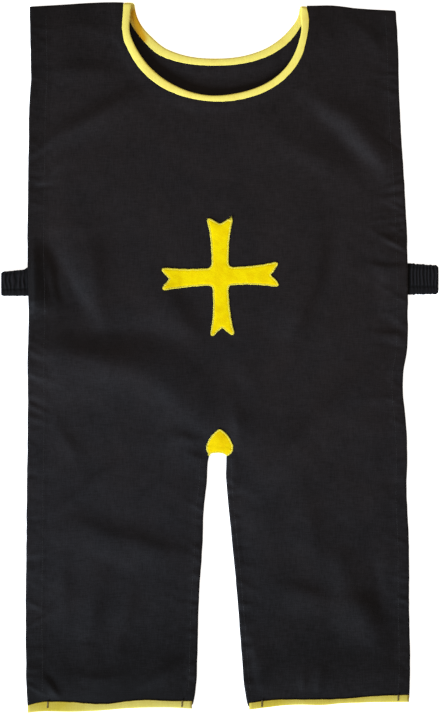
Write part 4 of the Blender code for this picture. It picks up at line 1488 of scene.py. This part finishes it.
def make_neck_binding(material):
    """One ring of tape: along the front's neck, over the right shoulder and back."""
    front = neck_rings(FRONT_NECK, FRONT_NECK_TAPE, front_middle, 1.0, 1.0)
    back = neck_rings(BACK_NECK, BACK_NECK_TAPE, back_middle, -1.0, 5.0)
    rolls = []
    for front_ring, back_ring, roll_y in (
        (front[-1], back[-1], RIGHT_ROLL_Y),
        (front[0], back[0], LEFT_ROLL_Y),
    ):
        rings = []
        for i in range(1, ROLL_STEPS):
            turn = math.pi * i / ROLL_STEPS
            centre = (front_ring[:, 2] + back_ring[:, 2]) / 2.0
            reach = (front_ring[:, 2] - back_ring[:, 2]) / 2.0
            x = front_ring[:, 0] + (back_ring[:, 0] - front_ring[:, 0]) * ease(i / ROLL_STEPS)
            y = roll_y + reach * math.sin(turn)
            rings.append(np.column_stack([x, y, centre + reach * math.cos(turn)]))
        rolls.append(rings)
    rings = list(front) + rolls[0] + list(back[::-1]) + rolls[1][::-1]
    thing = strip("neck_tape", [ring.tolist() for ring in rings], True, material)
    places = np.array(rings).reshape(-1, 3)
    x, y, z = places.T
    # Painted shade: the back's tape turns golden beside the left shoulder, low down under the front's edge
    from_golden = distance_to([Vector(GOLDEN_START), Vector(GOLDEN_END)], x, y, closed=False)
    golden = GOLDEN_STRENGTH * bell(from_golden, GOLDEN_WIDTH) * way(z, GOLDEN_HEIGHTS)
    add_values(thing, "shade", golden)
    return thing


def make_hem_tape(name, rows, height, material, seed):
    xs = np.array(steps_between(rows[0].x, rows[-1].x, HEM_STEP))
    rings = tape_rings(hem_line(rows, 0.0), hem_line(rows, BINDING_WIDTH), xs, HEM_TAPES, height, 1.0, seed)
    x = rings[:, :, 0]
    past_right = ease((x - rows[-1].x) / OVERLAP_EASE + 1.0)
    past_left = ease((rows[0].x - x) / OVERLAP_EASE + 1.0)
    x += TAPE_OVERLAP * (past_right - past_left)
    thing = strip(name, rings.tolist(), False, material)
    x = x.ravel()
    golden = RIGHT_HEM_GOLDEN * way(x, RIGHT_HEM_ACROSS)
    golden += sum(band.strength * bell(x - band.at, band.width) for band in HEM_BANDS)
    add_values(thing, "shade", golden)
    return thing


# The elastic straps

def body_edge(strap):
    """How far out the panels' side edge lies beside the strap."""
    middle = (strap.top_at_body + strap.bottom_at_body) / 2.0
    return abs(float(edge_x(side_name(strap.side), middle)))


def strap_path(strap):
    """Places along the strap's loop: how far out, how high, and how deep the gathers are."""
    edge = body_edge(strap)
    lower_sewn = WALL + SEAM_GAP + STRAP_WALL / 2
    upper_sewn = lower_sewn + STRAP_WALL + SEAM_GAP
    upper_outside = LOWER_OUTSIDE + STRAP_WALL + 2.0 * GATHER_ROOM + SEAM_GAP
    radius = (upper_outside - LOWER_OUTSIDE) / 2.0
    turn_at = abs(strap.tip) - radius - STRAP_WALL / 2
    sewn = steps_between(edge - STRAP_SEWN, edge, STRAP_SEWN / 8)
    free = steps_between(edge, turn_at, STRAP_STEP)[1:]
    lower = []
    upper = []
    for out in sewn + free:
        share = float(ease((out - edge) / DROP_TO_FLOOR))
        depth = SEWN_DEPTH + (1.0 - SEWN_DEPTH) * float(ease((out - edge + 5.0) / 6.0))
        depth *= 1.0 - (1.0 - TIP_DEPTH) * float(ease((out - turn_at + 3.0) / 3.0))
        lower.append((out, lower_sewn + (LOWER_OUTSIDE - lower_sewn) * share, depth))
        upper.append((out, upper_sewn + (upper_outside - upper_sewn) * share, depth))
    middle = (LOWER_OUTSIDE + upper_outside) / 2.0
    tip = []
    for i in range(1, TIP_STEPS):
        turn = math.pi * i / TIP_STEPS
        tip.append((turn_at + radius * math.sin(turn), middle - radius * math.cos(turn), TIP_DEPTH))
    return lower + tip + upper[::-1]


def strap_span(strap, out, run, seed):
    """Where the strap's lower and upper edges are, this far out."""
    edge = body_edge(strap)
    share = min(max((out - edge) / (abs(strap.tip) - edge), 0.0), 1.0)
    top = strap.top_at_body + (strap.top_at_tip - strap.top_at_body) * share
    bottom = strap.bottom_at_body + (strap.bottom_at_tip - strap.bottom_at_body) * share
    top += strap.flare * (1.0 - float(ease((out - edge) / FLARE_REACH)))
    into_tip = max(0.0, 1.0 - (abs(strap.tip) - out) / TIP_REACH)
    narrow = TIP_NARROWING * (1.0 - math.sqrt(max(0.0, 1.0 - into_tip * into_tip)))
    frill = strap.frill * noise.noise((run * 0.33, seed, 3.0)) * (out > edge)
    return bottom + narrow, top - narrow, frill


def gather_wave(strap, run, column, seed):
    """The gathers' wave at a place on the casing, from -1 to 1, and how high it is there."""
    lean = GATHER_LEAN * noise.noise((run * 0.11, column * 2.3, seed))
    drift = GATHER_DRIFT * noise.noise((run * 0.09, seed, 8.0))
    wave = math.sin(math.tau * run / strap.pitch + lean + drift)
    wave = math.copysign(abs(wave) ** GATHER_BLUNTNESS, wave)
    calm = 1.0 - CALM.strength * float(bell(column - CALM.at, CALM.width))
    variety = GATHER_VARIETY * noise.noise((run * 0.16, column * 3.0, seed + 9.0))
    return wave * calm, GATHER_RISE * (GATHER_EVENNESS + variety)


def make_strap(name, strap, material, seed):
    """A gathered casing: a wall along the loop, waved across its run, with grooves at its headers."""
    path = strap_path(strap)
    edge = body_edge(strap)
    rings = []
    crests = []
    run = 0.0
    for i, (out, height, depth) in enumerate(path):
        before = path[max(i - 1, 0)]
        after = path[min(i + 1, len(path) - 1)]
        along = Vector((after[0] - before[0], after[1] - before[1])).normalized()
        normal = Vector((along.y, -along.x))
        if i:
            run += math.hypot(out - before[0], height - before[1])
        bottom, top, frill = strap_span(strap, out, run, seed)
        painted_joint_shade = JOINT_DARK * float(bell(out - edge, JOINT_WIDTH))
        outer = []
        inner = []
        for c in range(STRAP_COLUMNS + 1):
            column = c / STRAP_COLUMNS
            y = bottom + (top - bottom) * column + frill * (2.0 * column - 1.0) ** 3
            wave, rise = gather_wave(strap, run, column, seed)
            lift = rise * depth * wave
            groove = sum(band.strength * float(bell(column - band.at, band.width)) for band in GROOVES)
            rounded = HALF_CASING - EDGE_ROUNDING * abs(2.0 * column - 1.0) ** 10
            for wall, off in (
                (outer, lift + rounded - GROOVE_DEPTH * groove * depth),
                (inner, lift - rounded),
            ):
                wall.append((strap.side * (out + normal.x * off), y, height + normal.y * off))
            # Painted light and shade: lighter on the gathers' crests, darker in their hollows, in the
            # grooves and at the joint
            crests.append(max(0.0, 0.5 + 0.5 * wave - GROOVE_DARK * groove - painted_joint_shade))
        rings.append(outer + inner[::-1])
        crests += [INNER_CREST] * len(inner)
    thing = strip(name, rings, False, material)
    add_values(thing, "crest", crests)
    return thing


# The cross and the patch

EDGE_INSETS = (0.8, 1.9)
APPLIQUE_STEP = 2.2
APPLIQUE_CLEAR = 1.2
SEAT = 0.06             # of an applique's underside over the front
LEAST_THICKNESS = 0.1
EDGE_THICKNESS = 0.45   # of the rest of its thickness, at its edge
DOME_REACH = 12.0
SATIN_INSET = 0.75
SATIN_LIFT = 0.62

TUFT_ROOT = Vector((12.4, 163.0))
TUFT_THREADS = 6
TUFT_STEPS = 8
TUFT_SIDES = 6
TUFT_RADIUS = 0.24
TUFT_TAPER = 0.5
TUFT_LIFT = 0.9         # of its threads over the front
TUFT_HUMP = 0.5
TUFT_LAYER = 0.15
TUFT_TURNS = (20.0, 150.0)
TUFT_LENGTHS = (3.2, 6.2)
TUFT_CURLS = (-0.25, 0.25)


def make_applique(name, outline, material, dome=0.0):
    """A cut piece of thick cloth on the front, soft at its edge."""
    inner = [inset_line(outline, inset) for inset in EDGE_INSETS]
    xs, ys = grid(outline, APPLIQUE_STEP)
    kept = inside(inner[1], xs, ys)
    xs, ys = xs[kept], ys[kept]
    kept = distance_to(inner[1], xs, ys) > APPLIQUE_CLEAR
    places, triangles = triangulate(outline, inner, xs[kept], ys[kept])
    x, y = places.T
    deep = distance_to(outline, x, y)
    base = front_top(x, y)
    rise = APPLIQUE * (EDGE_THICKNESS + (1.0 - EDGE_THICKNESS) * ease(deep / EDGE_INSETS[1]))
    top = base + LEAST_THICKNESS + rise + dome * ease(deep / DOME_REACH)
    return shell(name, places, triangles, top, base + SEAT, APPLIQUE_EDGE, material)


def satin_edge(name, outline, material, seed):
    """Close zigzag stitches that hold an applique's edge down."""
    line = [(p.x, p.y) for p in inset_line(outline, SATIN_INSET)]
    return sew(name, [on_surface(line + line[:1], front_top, SATIN_LIFT)], SATIN, material, seed)


def loose_thread(draw, base):
    """Rings round one thread end that curls up from the tuft's root."""
    turn = math.radians(draw.uniform(*TUFT_TURNS))
    length = draw.uniform(*TUFT_LENGTHS)
    curl = draw.uniform(*TUFT_CURLS)
    here = TUFT_ROOT + Vector((draw.uniform(-1.6, 1.6), draw.uniform(-1.0, 1.0)))
    spine = []
    for i in range(TUFT_STEPS + 1):
        spine.append(here.copy())
        here = here + Vector((math.cos(turn), math.sin(turn))) * length / TUFT_STEPS
        turn += curl
    points = []
    for i, spot in enumerate(spine):
        along = (spine[min(i + 1, TUFT_STEPS)] - spine[max(i - 1, 0)]).normalized()
        radius = TUFT_RADIUS * (1.0 - TUFT_TAPER * i / TUFT_STEPS)
        lift = base + TUFT_HUMP * math.sin(math.pi * i / TUFT_STEPS)
        for j in range(TUFT_SIDES):
            angle = math.tau * j / TUFT_SIDES
            off = radius * math.cos(angle)
            points.append((spot.x - along.y * off, spot.y + along.x * off, lift + radius * math.sin(angle)))
    return points


def make_tuft(material):
    """Loose thread ends at the tip of the cross's top arm."""
    draw = random.Random(4)
    base = float(front_top(np.array([TUFT_ROOT.x]), np.array([TUFT_ROOT.y]))[0]) + TUFT_LIFT
    points = []
    faces = []
    for k in range(TUFT_THREADS):
        faces += skin(TUFT_SIDES, TUFT_STEPS + 1, False, first=len(points))
        points += loose_thread(draw, base + TUFT_LAYER * k)
    return face_out(add_object("loose_threads", points, faces, material))


# The stitching

STITCH_BOTTOM = -398.0
STITCH_TOP = 408.0
STITCH_TOP_BY_SLIT = SLIT_HEAD_Y - 4.0

# Bar tacks that end the turned hems, across the tape of the front's hem
Tack = namedtuple("Tack", "x low high")
TACKS = [
    Tack(-206.0, 4.5, 11.6),
    Tack(-45.3, 0.6, 8.0),
    Tack(50.3, 1.2, 8.6),
    Tack(213.3, 1.5, 8.2),
]
TACK_LEAN = 0.06
TACK_LIFT = 1.56


def hem_stitches(name, height, lift, material, seed):
    """The stitching of the four turned hems, which ends above the yellow tape."""
    lines = []
    for edge, upright in UPRIGHTS.items():
        top = STITCH_TOP if edge in ("left", "right") else STITCH_TOP_BY_SLIT
        depth = upright.hem - STITCH_INSET
        ys = np.array(steps_between(STITCH_BOTTOM, top, 2.0))
        xs = edge_x(edge, ys) + upright.facing * (depth + uneven(ys, depth * 7.0, STITCH_LUMPS))
        lines.append(on_surface(list(zip(xs, ys)), height, lift))
    return sew(name, lines, RUNNING, material, seed)


def make_tacks(material):
    lines = []
    for tack in TACKS:
        ys = float(hem_y(tack.x)) + np.array(steps_between(tack.low, tack.high, 1.0))
        line = [(tack.x + TACK_LEAN * k, y) for k, y in enumerate(ys)]
        lines.append(on_surface(line, front_middle, TACK_LIFT))
    return sew("hem_end_tacks", lines, TACKING, material, 13)


# The light and the camera

FLOOR_HALF = 3000.0
FLOOR_Z = -0.4
FLOOR_GLOW = 0.8
VIEW_LENGTH = 0.8556    # seen over the frame's longer side, in metres
CAMERA_PLACE = (0.0003, 0.0005, 2.2)
SENSOR = 36.0
WINDOW_PLACE = (-1.9, -2.9, 1.22)
WINDOW_SOFTNESS = 19.0
WINDOW_STRENGTH = 8.5
WINDOW_COLOUR = (0.70, 0.84, 1.0)
ROOM_COLOUR = (1.0, 0.88, 0.77, 1.0)
ROOM_STRENGTH = 0.5


def add_window():
    """A wide soft light far off, low at the garment's lower left."""
    light = bpy.data.lights.new("window", "SUN")
    light.angle = math.radians(WINDOW_SOFTNESS)
    light.energy = WINDOW_STRENGTH
    light.color = WINDOW_COLOUR
    thing = put("window", light)
    thing.location = WINDOW_PLACE
    thing.rotation_euler = (-Vector(WINDOW_PLACE)).to_track_quat("-Z", "Y").to_euler()


def add_floor():
    finish = Finish("pale floor", {
        "Base Color": (0.9, 0.9, 0.9, 1.0),
        "Roughness": 0.9,
        "Specular IOR Level": 0.1,
        "Emission Color": (1.0, 1.0, 1.0, 1.0),
        "Emission Strength": FLOOR_GLOW,
    })
    corners = [(x * FLOOR_HALF, y * FLOOR_HALF, FLOOR_Z) for x, y in ((-1, -1), (1, -1), (1, 1), (-1, 1))]
    add_object("floor", corners, [(0, 1, 2, 3)], finish.material, smooth=False)


def add_camera():
    """Straight above, so that the part fills the photo's frame."""
    camera = bpy.data.cameras.new("camera")
    camera.sensor_fit = "AUTO"
    camera.sensor_width = SENSOR
    camera.lens = SENSOR * CAMERA_PLACE[2] / VIEW_LENGTH
    camera.clip_end = 50.0
    thing = put("camera", camera)
    thing.location = CAMERA_PLACE
    bpy.context.scene.camera = thing


def add_world():
    world = bpy.data.worlds.new("studio")
    world.use_nodes = True
    background = world.node_tree.nodes["Background"]
    background.inputs["Color"].default_value = ROOM_COLOUR
    background.inputs["Strength"].default_value = ROOM_STRENGTH
    bpy.context.scene.world = world


# Everything in its order

cloth = black_cloth("black cotton")
cloth_back = black_cloth("black cotton, back")
binding = yellow_tape("yellow neck tape", NECK_TAPE_LIGHT, NECK_TAPE_GOLDEN)
hem_tape = yellow_tape("yellow hem tape", HEM_TAPE_LIGHT, HEM_TAPE_GOLDEN)
applique = yellow_applique("yellow applique", CROSS_LIGHT, CROSS_DEEP)
patch_cloth = yellow_applique("yellow patch", PATCH_LIGHT, PATCH_DEEP)
satin = thread("yellow satin thread", SATIN_YELLOW)
black_thread = thread("black sewing thread", THREAD_BLACK)
dark_thread = thread("dark tacking thread", TACK_OLIVE)
casing = black_casing("black gathered casing")

front = make_panel("front_cloth", FRONT_NECK, FRONT_ZONES, front_top, front_under, cloth)
carry(front, "black_cloth", "front_panel")
back = make_panel("back_cloth", BACK_NECK, BACK_ZONES, back_top, back_under, cloth_back)
carry(back, "black_cloth", "back_panel")
neck = carry(make_neck_binding(binding), "yellow_neck_binding", "neck_binding")
hems = {}
for layer, height in (("front", front_middle), ("back", back_middle)):
    for side, rows in (("left", LEFT_HEM), ("right", RIGHT_HEM)):
        piece = make_hem_tape(f"hem_tape_{layer}_{side}", rows, height, hem_tape, len(hems) * 3.1)
        hems[layer, side] = carry(piece, "yellow_hem_binding", f"hem_binding_{layer}_{side}")
for side, strap in STRAPS.items():
    piece = make_strap(f"strap_{side}", strap, casing, 5.0 + strap.side)
    carry(piece, "black_elastic", f"elastic_strap_{side}")

cross_line = turned_left(evened(cross_outline(), 1.1, 0.5, 3.0))
patch_line = turned_left(evened(patch_outline(), 1.0, 0.25, 8.0))
cross = carry(make_applique("cross", cross_line, applique), "yellow_applique", "chest_cross")
patch = carry(make_applique("patch", patch_line, patch_cloth, 0.3), "yellow_applique", "slit_patch")
cross_satin = carry(satin_edge("cross_edge_stitches", cross_line, satin, 3), "yellow_applique")
patch_satin = carry(satin_edge("patch_edge_stitches", patch_line, satin, 5), "yellow_applique")
tuft = carry(make_tuft(satin), "yellow_applique")
front_stitches = carry(hem_stitches("front_hem_stitches", front_top, 0.05, black_thread, 7), "black_cloth")
tacks = carry(make_tacks(dark_thread), "yellow_hem_binding")
back_stitches = carry(hem_stitches("back_hem_stitches", back_under, 0.1, black_thread, 9), "black_cloth")

for (layer, side), piece in hems.items():
    width, length = (0.022, 0.1952) if side == "left" else (0.0175, 0.1903)
    front if layer == "front" else back
    [tacks] if (layer, side) == ("front", "left") else []

add_floor()
add_world()
add_window()
add_camera()
bpy.context.scene.view_settings.view_transform = "Standard"
